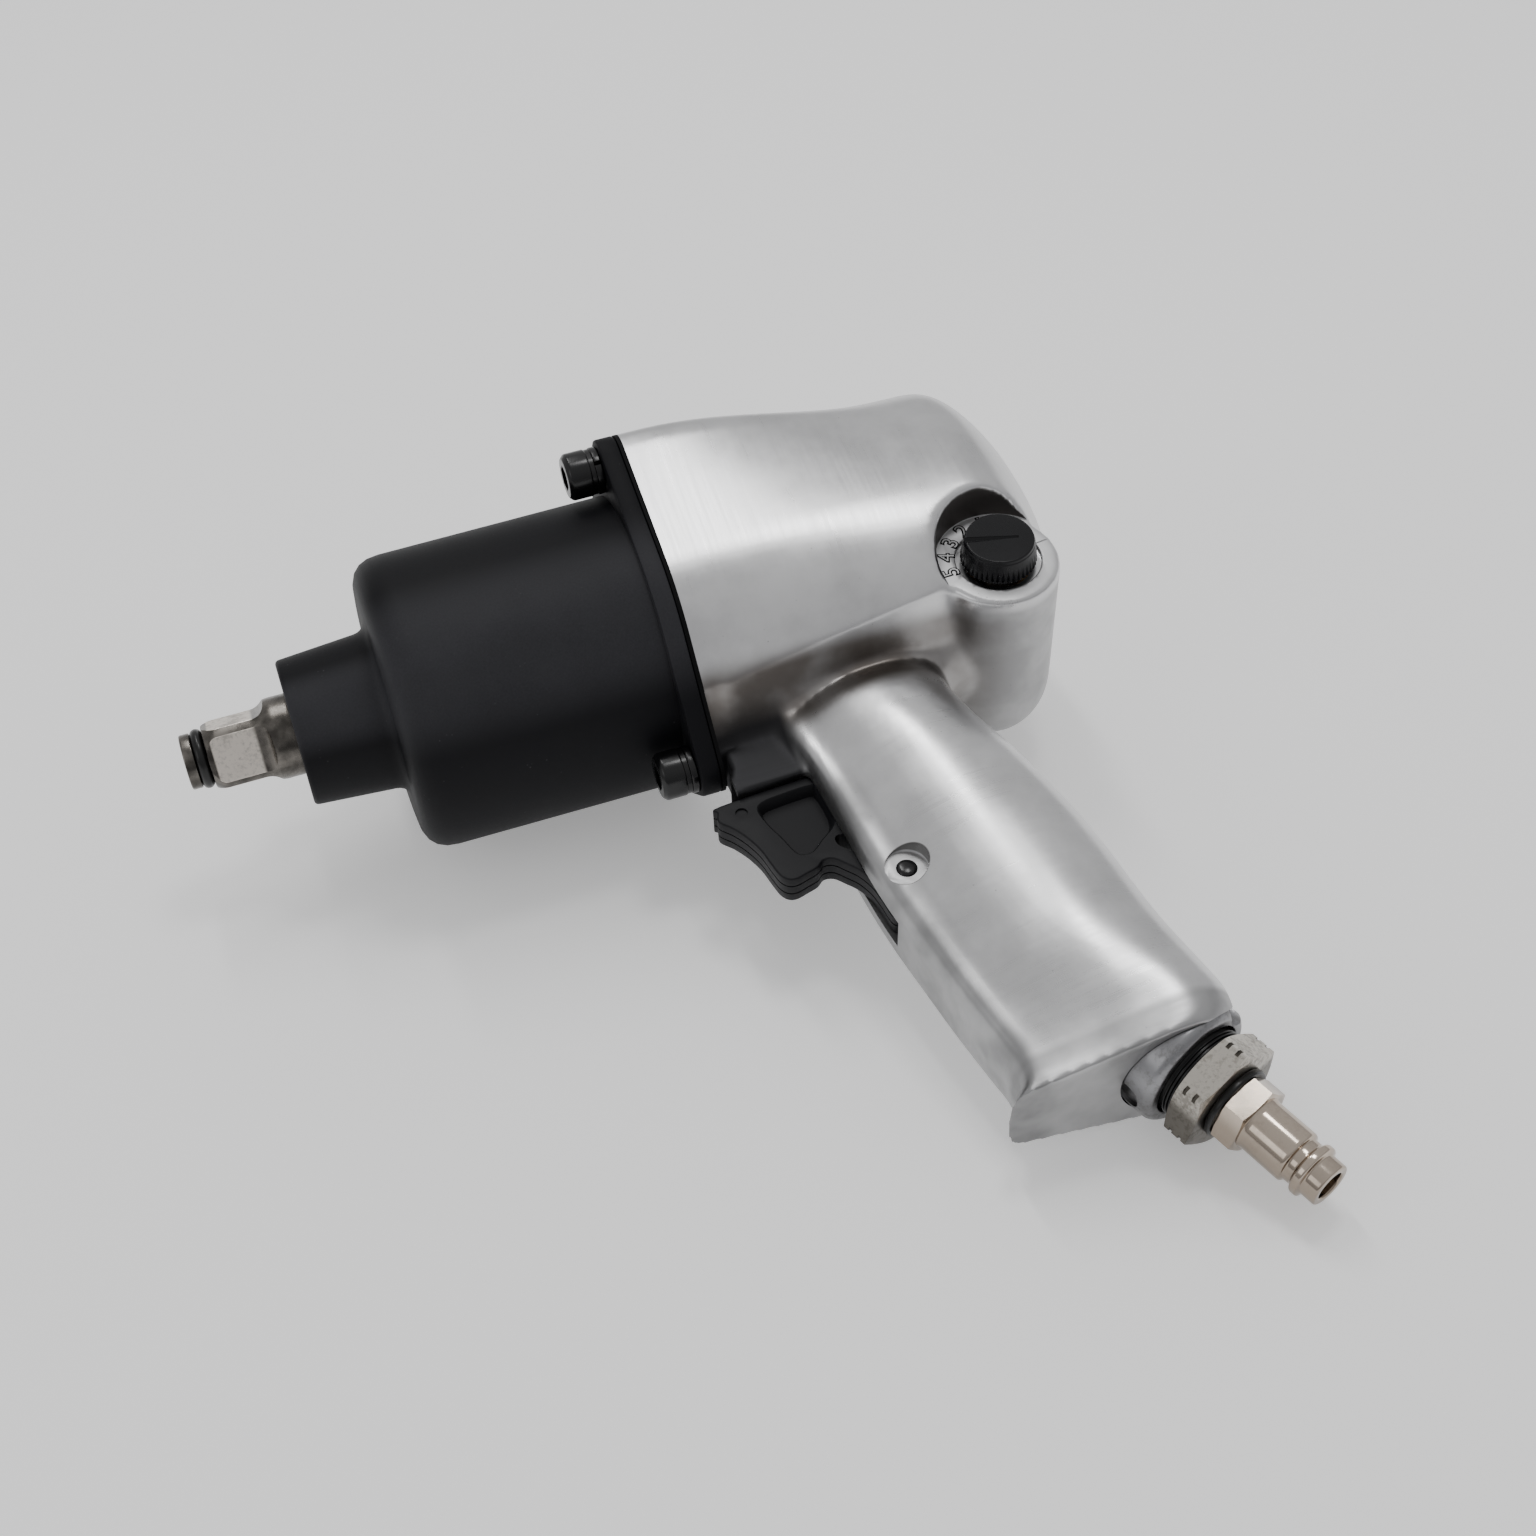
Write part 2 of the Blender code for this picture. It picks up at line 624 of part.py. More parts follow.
def body_section(back):
    """Points (y, z) of the casting round the motor at a distance behind the gasket.

    The eared flange outline fades into a rounded square, and a ridge runs along each lower flank, where
    the section turns in sharply towards the handle.
    """
    fade = min(max((back - EAR_FADE_START) / EAR_FADE_LENGTH, 0), 1)
    ears = 0.5 + 0.5 * math.cos(math.pi * fade)
    ridge = RIDGE_FRONT_ANGLE - RIDGE_TURN * back / MM
    upper = np.linspace(0, ridge, UPPER_POINTS + 1)
    lower = ridge + (180 - ridge) * np.linspace(0, 1, LOWER_POINTS + 1)[1:] ** 1.4
    half = []
    for angle in np.concatenate([upper, lower]):
        turn = math.radians(angle)
        power = REAR_SQUARENESS
        square = (abs(math.sin(turn)) / REAR_HALF_WIDTH) ** power
        square += (abs(math.cos(turn)) / REAR_HALF_HEIGHT) ** power
        radius = (1 - ears) * square ** (-1 / power) + ears * flange_radius(angle)
        lift = min(max(1 - (ridge - angle) / RIDGE_LIFT_ANGLE, 0), 1) * min(back / RIDGE_RUN_IN, 1)
        radius += RIDGE_LIFT * lift * lift
        tuck = min(max((angle - ridge) / RIDGE_UNDERCUT_ANGLE, 0), 1)
        y = radius * math.sin(turn) * (1 - RIDGE_UNDERCUT * tuck)
        half.append((y, radius * math.cos(turn)))
    return half + [(-y, z) for y, z in half[-2:0:-1]]


def body_rings():
    run = CASTING_LENGTH - REAR_ROUNDING[0][0] * MM
    straight = [(run * share, 1.0) for share in BODY_STATIONS]
    rounded = [(CASTING_LENGTH - short * MM, scale) for short, scale in REAR_ROUNDING]
    rings = []
    for back, scale in straight + rounded:
        rings.append([(-back, y * scale, z * scale) for y, z in body_section(back)])
    return rings


def through(values, at):
    """A smooth curve through evenly numbered values, read at positions between them."""
    values = np.asarray(values, float)
    padded = np.concatenate([[2 * values[0] - values[1]], values, [2 * values[-1] - values[-2]]])
    at = np.asarray(at, float)
    start = np.minimum(at.astype(int), len(values) - 2)
    t = (at - start).reshape([-1] + [1] * (values.ndim - 1))
    before, first, second, after = (padded[start + i] for i in range(4))
    slope = (second - before) / 2
    next_slope = (after - first) / 2
    gap = second - first
    square = 3 * gap - 2 * slope - next_slope
    cube = slope + next_slope - 2 * gap
    return first + slope * t + square * t**2 + cube * t**3


def section_shares(section):
    """A section as an even ring of depth and half-width shares."""
    last = len(section) - 1
    half = through(section, np.arange(1, last + 1e-9, 1 / GRIP_POINTS))
    half = np.concatenate([[section[0]], half])
    return np.concatenate([half, half[-2:0:-1] * (1, -1)])


def handle_rings():
    rows = through(HANDLE_STATIONS, np.linspace(0, len(HANDLE_STATIONS) - 1, HANDLE_RINGS)) * MM
    grip = section_shares(GRIP_SECTION)
    end = section_shares(END_SECTION)
    bottom = HANDLE_STATIONS[-1][0] * MM
    rings = []
    for drop, front, rear, half_width in rows:
        change = min(max((drop - END_START) / (bottom - END_START), 0), 1)
        change = change * change * (3 - 2 * change)
        shares = grip + (end - grip) * change
        depth = rear - front
        points = [(-front - depth * back, half_width * side, -drop) for back, side in shares]
        rings.append(points)
    return rings


def build_casting():
    casting = loft("motor_housing", body_rings(), TOOL, "polished_aluminium")
    handle = loft("handle_form", handle_rings(), TOOL, cutter=True)
    dome = [
        (BOSS_RADIUS * math.cos(t), KNOB_SEAT - BOSS_STRAIGHT - BOSS_DOME * math.sin(t))
        for t in np.linspace(0, math.pi / 2, 6)[:-1]
    ]
    boss_top = KNOB_SEAT + CUT_OVER
    boss_profile = [(0, boss_top), (BOSS_RADIUS, boss_top)] + dome
    boss_profile += [(0, KNOB_SEAT - BOSS_STRAIGHT - BOSS_DOME)]
    boss = turned("valve_boss_form", boss_profile, KNOB, cutter=True)
    hood = extruded(
        "hood_form", tool_points(HOOD_OUTLINE), -HOOD_HALF_WIDTH, HOOD_HALF_WIDTH, PIVOT, cutter=True
    )
    for form in (handle, boss, hood):
        combine(casting, form, "UNION")

    motor_bore = rod(
        "motor_bore",
        MOTOR_BORE_RADIUS,
        -MOTOR_BORE_DEPTH,
        CUT_OVER,
        DRIVE,
        steps=FINE,
        cutter=True,
    )
    dial = rod("dial_pocket", DIAL_RADIUS, KNOB_SEAT, 2 * KNOB_SEAT, KNOB, steps=FINE, cutter=True)
    valve = rod("valve_bore", VALVE_BORE, KNOB_SEAT - VALVE_DEPTH, KNOB_SEAT + CUT_OVER, KNOB, cutter=True)
    slot_half = TRIGGER_THICKNESS / 2 + RUN_GAP
    slot = box(
        "trigger_slot",
        (-SLOT_BACK, -slot_half, -SLOT_BOTTOM),
        (CUT_OVER, slot_half, -SLOT_TOP),
        TOOL,
        cutter=True,
    )
    throttle = rod(
        "throttle_bore",
        THROTTLE_BORE,
        -THROTTLE_BORE_END,
        -SLOT_BACK + CUT_OVER,
        THROTTLE,
        cutter=True,
    )
    pin = rod(
        "pivot_hole",
        PIVOT_PIN_RADIUS + SEAT_GAP,
        -PIN_SEAT - SEAT_GAP,
        PIN_SEAT + CUT_OVER,
        PIVOT,
        cutter=True,
    )
    counterbore = rod("pivot_counterbore", PIVOT_COUNTERBORE, PIN_SEAT, 2 * PIN_SEAT, PIVOT, cutter=True)
    pocket = rod(
        "deflector_pocket",
        DEFLECTOR_RADIUS + RUN_GAP,
        DEFLECTOR_START - RUN_GAP,
        INLET_HEX_LENGTH,
        INLET,
        steps=ROUND,
        cutter=True,
    )
    shank = rod(
        "inlet_bore",
        INLET_SHANK_RADIUS + SEAT_GAP,
        INLET_SHANK_START - 3 * SCREEN_THICKNESS,
        0,
        INLET,
        steps=ROUND,
        cutter=True,
    )
    cutters = [motor_bore, dial, valve, slot, throttle, pin, counterbore, pocket, shank, air_passage()]
    for angle in EAR_ANGLES:
        hole = rod(
            f"screw_hole_{angle:.0f}",
            SCREW_RADIUS + SEAT_GAP,
            -SCREW_GRIP - CUT_OVER,
            CUT_OVER,
            DRIVE,
            cutter=True,
        )
        cutters.append(moved(hole, (*polar(EAR_CIRCLE, angle), 0)))
    for cutter in cutters:
        combine(casting, cutter)
    smooth(casting, 28)


def air_passage():
    """A drilled way from the inlet bore up to the throttle bore."""
    lean = math.radians(INLET_LEAN)
    reach = INLET_SHANK_START - SCREEN_THICKNESS
    low = Vector((-INLET_BACK - reach * math.sin(lean), 0, -INLET_DROP - reach * math.cos(lean)))
    high = Vector((-PASSAGE_TOP_BACK, 0, -THROTTLE_DROP))
    passage = rod("air_passage", PASSAGE_RADIUS, 0, (high - low).length, TOOL, cutter=True)
    turn = (high - low).to_track_quat("Z", "Y").to_matrix().to_4x4()
    passage.matrix_local = Matrix.Translation(low) @ turn
    return passage


def build_case():
    corner = [
        (
            CASE_FRONT_RADIUS - CASE_CORNER + CASE_CORNER * math.sin(t),
            CASE_FRONT - CASE_CORNER + CASE_CORNER * math.cos(t),
        )
        for t in np.linspace(0, math.pi / 2, 7)
    ]
    fillet = 1.6 * MM
    profile = [
        (0, NOSE_FRONT),
        (NOSE_FRONT_RADIUS - 0.8 * MM, NOSE_FRONT),
        (NOSE_FRONT_RADIUS, NOSE_FRONT - 0.8 * MM),
    ]
    profile += [(NOSE_REAR_RADIUS, CASE_FRONT + fillet), (NOSE_REAR_RADIUS + fillet, CASE_FRONT)]
    root = CASE_BACK + FLANGE_THICKNESS / 2
    profile += corner + [(CASE_REAR_RADIUS, root), (0, root)]
    case = turned("hammer_case", profile, DRIVE, "black_case", FINE)
    flange = extruded("flange_form", flange_outline(), CASE_BACK, FLANGE_FRONT, DRIVE, cutter=True)
    combine(case, flange, "UNION")
    inner = CASE_FRONT_RADIUS - CASE_WALL
    bore = [
        (0, NOSE_FRONT + CUT_OVER),
        (BUSHING_OUTER + SEAT_GAP, NOSE_FRONT + CUT_OVER),
        (BUSHING_OUTER + SEAT_GAP, CASE_INNER_FRONT),
        (inner - CASE_CORNER / 2, CASE_INNER_FRONT),
        (inner, CASE_INNER_FRONT - CASE_CORNER / 2),
        (inner, CASE_BACK - CUT_OVER),
        (0, CASE_BACK - CUT_OVER),
    ]
    combine(case, turned("case_bore", bore, DRIVE, steps=FINE, cutter=True))
    for angle in EAR_ANGLES:
        hole = rod(
            f"case_hole_{angle:.0f}",
            SCREW_RADIUS + SEAT_GAP,
            -CUT_OVER,
            FLANGE_FRONT + CUT_OVER,
            DRIVE,
            cutter=True,
        )
        combine(case, moved(hole, (*polar(EAR_CIRCLE, angle), 0)))
    smooth(case, 30)
    gasket = extruded(
        "case_gasket",
        flange_outline(),
        SEAT_GAP,
        SEAT_GAP + GASKET_THICKNESS,
        DRIVE,
        "black_gasket",
    )
    combine(
        gasket,
        rod("gasket_bore", MOTOR_BORE_RADIUS, -CUT_OVER, CUT_OVER, DRIVE, steps=FINE, cutter=True),
    )
    for angle in EAR_ANGLES:
        hole = rod(
            f"gasket_hole_{angle:.0f}",
            SCREW_RADIUS + SEAT_GAP,
            -CUT_OVER,
            CUT_OVER,
            DRIVE,
            cutter=True,
        )
        combine(gasket, moved(hole, (*polar(EAR_CIRCLE, angle), 0)))
    ring(
        "anvil_bushing",
        BUSHING_INNER,
        BUSHING_OUTER,
        CASE_INNER_FRONT,
        NOSE_FRONT - 1.0 * MM,
        DRIVE,
        "bronze",
        edge=0.5 * MM,
    )


def build_screws():
    washer_low = FLANGE_FRONT + SEAT_GAP
    head_low = washer_low + WASHER_THICKNESS + SEAT_GAP
    head_high = head_low + SCREW_HEAD_HEIGHT
    edge = 0.5 * MM
    profile = [
        (0, head_high),
        (SCREW_HEAD_RADIUS - edge, head_high),
        (SCREW_HEAD_RADIUS, head_high - edge),
        (SCREW_HEAD_RADIUS, head_low),
        (SCREW_RADIUS, head_low),
        (SCREW_RADIUS, -SCREW_GRIP + edge),
        (SCREW_RADIUS - edge, -SCREW_GRIP),
        (0, -SCREW_GRIP),
    ]
    for number, angle in enumerate(EAR_ANGLES, 1):
        spot = (*polar(EAR_CIRCLE, angle), 0)
        screw = turned(f"case_screw_{number}", profile, DRIVE, "black_steel", SMALL)
        moved(screw, spot, angle)
        key = extruded(
            f"hex_socket_{number}",
            hexagon(SCREW_SOCKET_FLATS),
            head_high - SCREW_SOCKET_DEPTH,
            head_high + CUT_OVER,
            DRIVE,
            cutter=True,
        )
        combine(screw, moved(key, spot, angle))
        washer = ring(
            f"lock_washer_{number}",
            SCREW_RADIUS + SEAT_GAP,
            SCREW_HEAD_RADIUS,
            washer_low,
            washer_low + WASHER_THICKNESS,
            DRIVE,
            "black_steel",
            SMALL,
        )
        moved(washer, spot, angle)
        split = box(
            f"washer_split_{number}",
            (0, -WASHER_SPLIT / 2, 0),
            (2 * SCREW_HEAD_RADIUS, WASHER_SPLIT / 2, 2 * head_low),
            DRIVE,
            cutter=True,
        )
        combine(washer, moved(split, spot, angle))


def build_anvil():
    back = CAGE_START + CAGE_PLATE / 2 + RUN_GAP
    shoulder = [
        (
            COLLAR_RADIUS - (COLLAR_RADIUS - TIP_RADIUS) * share,
            COLLAR_FRONT + SHOULDER_LENGTH * share**2,
        )
        for share in (1.0, 0.85, 0.6, 0.3, 0.0)
    ]
    profile = [
        (0, TIP_FRONT),
        (TIP_RADIUS - 0.4 * MM, TIP_FRONT),
        (TIP_RADIUS, TIP_FRONT - 0.4 * MM),
        (TIP_RADIUS, TIP_BACK),
        (RING_GROOVE_RADIUS, TIP_BACK),
        (RING_GROOVE_RADIUS, SQUARE_END),
        (TIP_RADIUS, SQUARE_END),
    ]
    profile += shoulder + [
        (COLLAR_RADIUS, HAMMER_START),
        (ANVIL_PILOT_RADIUS, HAMMER_START),
        (ANVIL_PILOT_RADIUS, back),
        (0, back),
    ]
    anvil = turned("anvil", profile, DRIVE, "bright_steel", ROUND)
    half = SQUARE_DRIVE / 2
    square = box("square_form", (-half, -half, COLLAR_FRONT), (half, half, SQUARE_END), DRIVE, cutter=True)
    moved(square, (0, 0, 0), -SQUARE_TURN)
    bevel(square, SQUARE_CORNER, 1)
    limits = [
        (0, SQUARE_END),
        (half + 0.6 * MM, SQUARE_END),
        (half * math.sqrt(2), SQUARE_END - 2.2 * MM),
        (half * math.sqrt(2), SQUARE_START),
        (COLLAR_RADIUS, COLLAR_FRONT),
        (0, COLLAR_FRONT),
    ]
    cone = turned("square_limit", limits, DRIVE, cutter=True)
    combine(square, cone, "INTERSECT")
    combine(anvil, square, "UNION")
    for number, side in enumerate((1, -1), 1):
        start = HAMMER_START + RUN_GAP + (number - 1) * (HAMMER_THICKNESS + RUN_GAP)
        jaw = box(
            f"jaw_form_{number}",
            (-ANVIL_JAW_WIDTH / 2, 0, start),
            (ANVIL_JAW_WIDTH / 2, side * ANVIL_JAW_REACH, start + HAMMER_THICKNESS - 2 * RUN_GAP),
            DRIVE,
            cutter=True,
        )
        combine(anvil, jaw, "UNION")
    smooth(anvil, 30)
    middle = (SQUARE_END + TIP_BACK) / 2
    ring_low = middle - RING_WIRE
    hoop = RING_GROOVE_RADIUS + RUN_GAP + RING_WIRE
    seal = [
        (hoop + RING_WIRE * math.cos(t), middle + RING_WIRE * math.sin(t))
        for t in np.linspace(math.pi / 2, -3 * math.pi / 2, 9)[:-1]
    ]
    friction = turned("socket_ring", seal, DRIVE, "black_rubber", ROUND, closed=True)
    gap = box(
        "ring_gap",
        (0, -0.4 * MM, ring_low),
        (2 * hoop, 0.4 * MM, middle + RING_WIRE),
        DRIVE,
        cutter=True,
    )
    combine(friction, moved(gap, (0, 0, 0), RING_GAP_TURN))


def build_clutch():
    profile = [
        (CAGE_RADIUS, CAGE_END),
        (CAGE_RADIUS, CAGE_START),
        (ROTOR_SHAFT_RADIUS + SEAT_GAP, CAGE_START),
        (ROTOR_SHAFT_RADIUS + SEAT_GAP, CAGE_START + CAGE_PLATE),
        (CAGE_RADIUS - CAGE_WALL, CAGE_START + CAGE_PLATE),
        (CAGE_RADIUS - CAGE_WALL, CAGE_INNER_END),
        (COLLAR_RADIUS + RUN_GAP, CAGE_INNER_END),
        (COLLAR_RADIUS + RUN_GAP, CAGE_END),
    ]
    cage = turned("hammer_frame", profile, DRIVE, "cast_iron", ROUND, closed=True)
    depth = CAGE_RADIUS * math.cos(math.radians(CAGE_WINDOW_ANGLE))
    for side in (1, -1):
        window = box(
            f"cage_window_{side}",
            (side * depth, -2 * CAGE_RADIUS, CAGE_START + CAGE_PLATE),
            (side * 2 * CAGE_RADIUS, 2 * CAGE_RADIUS, CAGE_INNER_END),
            DRIVE,
            cutter=True,
        )
        combine(cage, window)
    for number, side in enumerate((1, -1), 1):
        spot = (side * HAMMER_PIN_CIRCLE, 0, 0)
        hole = rod(f"pin_hole_{number}", HAMMER_PIN_RADIUS + SEAT_GAP, 0, 2 * CAGE_END, DRIVE, cutter=True)
        combine(cage, moved(hole, spot))
        pin = rod(
            f"hammer_pin_{number}",
            HAMMER_PIN_RADIUS,
            CAGE_START,
            CAGE_END,
            DRIVE,
            "bright_steel",
            edge=0.4 * MM,
        )
        moved(pin, spot)
    smooth(cage, 30)
    for number, side in enumerate((1, -1), 1):
        low = HAMMER_START + (number - 1) * (HAMMER_THICKNESS + RUN_GAP)
        high = low + HAMMER_THICKNESS
        hammer = ring(f"hammer_{number}", HAMMER_BORE, HAMMER_RADIUS, low, high, DRIVE, "bright_steel")
        dog = box(
            f"dog_form_{number}",
            (-HAMMER_DOG_WIDTH / 2, -side * (COLLAR_RADIUS + RUN_GAP), low),
            (HAMMER_DOG_WIDTH / 2, -side * (HAMMER_BORE + 2 * MM), high),
            DRIVE,
            cutter=True,
        )
        combine(hammer, dog, "UNION")
        for pin_side in (1, -1):
            loose = RUN_GAP if pin_side == side else 2 * RUN_GAP
            notch = rod(
                f"pin_notch_{number}_{pin_side}",
                HAMMER_PIN_RADIUS + loose,
                low - CUT_OVER,
                high + CUT_OVER,
                DRIVE,
                cutter=True,
            )
            combine(hammer, moved(notch, (pin_side * HAMMER_PIN_CIRCLE, 0, 0)))
        smooth(hammer, 30)


def build_motor():
    outer = CYLINDER_RADIUS
    liner = rod(
        "motor_cylinder",
        outer,
        CYLINDER_BACK,
        CYLINDER_FRONT,
        DRIVE,
        "cast_iron",
        FINE,
        edge=0.6 * MM,
    )
    chamber = rod(
        "chamber",
        CYLINDER_BORE,
        CYLINDER_BACK - CUT_OVER,
        CYLINDER_FRONT + CUT_OVER,
        DRIVE,
        steps=FINE,
        cutter=True,
    )
    combine(liner, moved(chamber, (0, -CYLINDER_OFFSET, 0)))
    plates = (
        ("front_end_plate", FRONT_PLATE_BACK, FRONT_PLATE_FRONT, FRONT_BEARING_RADIUS, 1),
        ("rear_end_plate", REAR_PLATE_BACK, REAR_PLATE_FRONT, REAR_BEARING_RADIUS, -1),
    )
    drilled = [liner]
    for name, low, high, bearing, side in plates:
        shaft_hole = ROTOR_SHAFT_RADIUS + 2 * RUN_GAP
        pocket = bearing + SEAT_GAP
        floor = END_PLATE_THICKNESS - BEARING_HEIGHT - SEAT_GAP
        step = low + floor if side > 0 else high - floor
        profile = [
            (outer, high),
            (outer, low),
            (shaft_hole if side > 0 else pocket, low),
            (shaft_hole if side > 0 else pocket, step),
            (pocket if side > 0 else shaft_hole, step),
            (pocket if side > 0 else shaft_hole, high),
        ]
        plate = turned(name, profile, DRIVE, "cast_iron", ROUND, closed=True)
        smooth(plate)
        drilled.append(plate)
        start = step + SEAT_GAP if side > 0 else step - SEAT_GAP - BEARING_HEIGHT
        build_bearing(name.replace("end_plate", "bearing"), bearing, start)
    for piece in drilled:
        hole = rod(
            f"dowel_hole_{piece.name}",
            DOWEL_RADIUS + SEAT_GAP,
            REAR_PLATE_FRONT - 3 * MM,
            FRONT_PLATE_BACK + 3 * MM,
            DRIVE,
            steps=SMALL,
            cutter=True,
        )
        combine(piece, moved(hole, (0, DOWEL_CIRCLE, 0)))
    dowel = rod(
        "cylinder_dowel",
        DOWEL_RADIUS,
        REAR_PLATE_FRONT - 2.8 * MM,
        FRONT_PLATE_BACK + 2.8 * MM,
        DRIVE,
        "bright_steel",
        edge=0.3 * MM,
    )
    moved(dowel, (0, DOWEL_CIRCLE, 0))
    gasket_low = REAR_PLATE_BACK - SEAT_GAP - REAR_GASKET_THICKNESS
    ring(
        "rear_gasket",
        REAR_BEARING_RADIUS + 3 * MM,
        outer,
        gasket_low,
        gasket_low + REAR_GASKET_THICKNESS,
        DRIVE,
        "black_gasket",
    )
    build_rotor()


def build_bearing(name, outer, low):
    """A ball race with a shallow channel between its rings on both faces."""
    inner = ROTOR_SHAFT_RADIUS + SEAT_GAP
    width = outer - inner
    high = low + BEARING_HEIGHT
    channel = 0.7 * MM
    lips = (inner + 0.3 * width, inner + 0.7 * width)
    profile = [
        (inner, high),
        (lips[0], high),
        (lips[0], high - channel),
        (lips[1], high - channel),
        (lips[1], high),
    ]
    profile += [
        (outer, high),
        (outer, low),
        (lips[1], low),
        (lips[1], low + channel),
        (lips[0], low + channel),
    ]
    profile += [(lips[0], low), (inner, low)]
    smooth(turned(name, profile, DRIVE, "bright_steel", ROUND, closed=True))


def build_rotor():
    low = CYLINDER_BACK + RUN_GAP
    high = CYLINDER_FRONT - RUN_GAP
    front = CAGE_START + CAGE_PLATE / 2 - RUN_GAP
    profile = [
        (0, front),
        (ROTOR_SHAFT_RADIUS - 0.6 * MM, front),
        (ROTOR_SHAFT_RADIUS, front - 0.6 * MM),
        (ROTOR_SHAFT_RADIUS, high),
        (ROTOR_RADIUS, high),
        (ROTOR_RADIUS, low),
        (ROTOR_SHAFT_RADIUS, low),
        (ROTOR_SHAFT_RADIUS, REAR_PLATE_BACK + 0.6 * MM),
        (ROTOR_SHAFT_RADIUS - 0.6 * MM, REAR_PLATE_BACK),
        (0, REAR_PLATE_BACK),
    ]
    rotor = turned("rotor", profile, DRIVE, "bright_steel", ROUND)
    foot = ROTOR_RADIUS - VANE_HEIGHT - RUN_GAP
    half = VANE_THICKNESS / 2
    for number in range(1, VANE_COUNT + 1):
        angle = 360 / VANE_COUNT * (number - 0.5)
        slot = box(
            f"vane_slot_{number}",
            (foot - RUN_GAP, -half - SEAT_GAP, low - CUT_OVER),
            (ROTOR_RADIUS + CUT_OVER, half + SEAT_GAP, high + CUT_OVER),
            DRIVE,
            cutter=True,
        )
        combine(rotor, moved(slot, (0, 0, 0), angle))
        vane = box(
            f"vane_{number}",
            (foot, -half, low),
            (foot + VANE_HEIGHT, half, high),
            DRIVE,
            "vane_resin",
        )
        moved(vane, (0, 0, 0), angle)
    smooth(rotor, 30)


def build_regulator():
    low = KNOB_SEAT - VALVE_DEPTH + SEAT_GAP
    bush = ring(
        "valve_bush",
        VALVE_BORE - VALVE_WALL,
        VALVE_BORE - SEAT_GAP,
        low,
        KNOB_SEAT - 3 * MM,
        KNOB,
        "bronze",
        SMALL,
    )
    port = rod("bush_port", 2.5 * MM, -VALVE_BORE - CUT_OVER, VALVE_BORE + CUT_OVER, KNOB, cutter=True)
    across = Matrix.Rotation(math.radians(90), 4, "Y")
    port.matrix_local = Matrix.Translation((0, 0, KNOB_SEAT - VALVE_DEPTH / 2)) @ across
    combine(bush, port)
    spool = VALVE_BORE - VALVE_WALL - RUN_GAP
    top = KNOB_SEAT - 4 * MM
    seal_at = top - 3 * MM
    groove = VALVE_SEAL_WIRE + SEAT_GAP
    waist_high = seal_at - 6 * MM
    waist_low = low + 6 * MM
    profile = [
        (0, KNOB_BASE + KNOB_HEIGHT / 2),
        (VALVE_STEM_RADIUS, KNOB_BASE + KNOB_HEIGHT / 2),
        (VALVE_STEM_RADIUS, top),
        (spool, top),
        (spool, seal_at + groove),
        (spool - 2 * VALVE_SEAL_WIRE, seal_at + groove),
        (spool - 2 * VALVE_SEAL_WIRE, seal_at - groove),
        (spool, seal_at - groove),
        (spool, waist_high),
        (spool - 2 * MM, waist_high - 2 * MM),
        (spool - 2 * MM, waist_low + 2 * MM),
        (spool, waist_low),
        (spool, low + RUN_GAP),
        (0, low + RUN_GAP),
    ]
    smooth(turned("reverse_valve", profile, KNOB, "bright_steel", SMALL))
    hoop = spool - VALVE_SEAL_WIRE + SEAT_GAP
    round_section = [
        (hoop + VALVE_SEAL_WIRE * math.cos(t), seal_at + VALVE_SEAL_WIRE * math.sin(t))
        for t in np.linspace(math.pi / 2, -3 * math.pi / 2, 7)[:-1]
    ]
    turned("valve_seal", round_section, KNOB, "black_rubber", SMALL, closed=True)
    build_knob()


def build_knob():
    """The knob: a ribbed skirt under a smooth cap, with a pointer slot from past the middle to the rim."""
    cap = 0.9 * MM
    top = KNOB_BASE + KNOB_HEIGHT
    profile = [
        (0, top),
        (KNOB_TOP_RADIUS - cap, top),
        (KNOB_TOP_RADIUS - cap / 3, top - cap / 3),
        (KNOB_TOP_RADIUS, top - cap),
        (KNOB_BASE_RADIUS, KNOB_BASE),
        (0, KNOB_BASE),
    ]
    knob = turned("regulator_knob", profile, KNOB, "gloss_black", 2 * KNOB_RIBS)
    teeth = []
    for i in range(2 * KNOB_RIBS):
        radius = KNOB_BASE_RADIUS - (KNOB_RIB_DEPTH if i % 2 else 0)
        turn = 2 * math.pi * (i + 0.5) / (2 * KNOB_RIBS)
        teeth.append((radius * math.cos(turn), radius * math.sin(turn)))
    skirt = extruded("knob_skirt", teeth, KNOB_BASE - CUT_OVER, top + CUT_OVER, KNOB, cutter=True)
    combine(knob, skirt, "INTERSECT")
    slot = box(
        "pointer_slot",
        (-KNOB_TOP_RADIUS / 2, -POINTER_WIDTH / 2, top - POINTER_DEPTH),
        (2 * KNOB_TOP_RADIUS, POINTER_WIDTH / 2, top + CUT_OVER),
        KNOB,
        cutter=True,
    )
    combine(knob, moved(slot, (0, 0, 0), -POINTER_TURN))
    stem = rod(
        "knob_socket",
        VALVE_STEM_RADIUS + SEAT_GAP,
        KNOB_BASE - CUT_OVER,
        KNOB_BASE + KNOB_HEIGHT / 2 + SEAT_GAP,
        KNOB,
        cutter=True,
    )
    combine(knob, stem)
    smooth(knob, 25)


def tool_points(points):
    """Points given behind the gasket and below the drive axis, in millimetres, in the pivot's frame."""
    return [(PIVOT_BACK - back * MM, drop * MM - PIVOT_DROP) for back, drop in points]


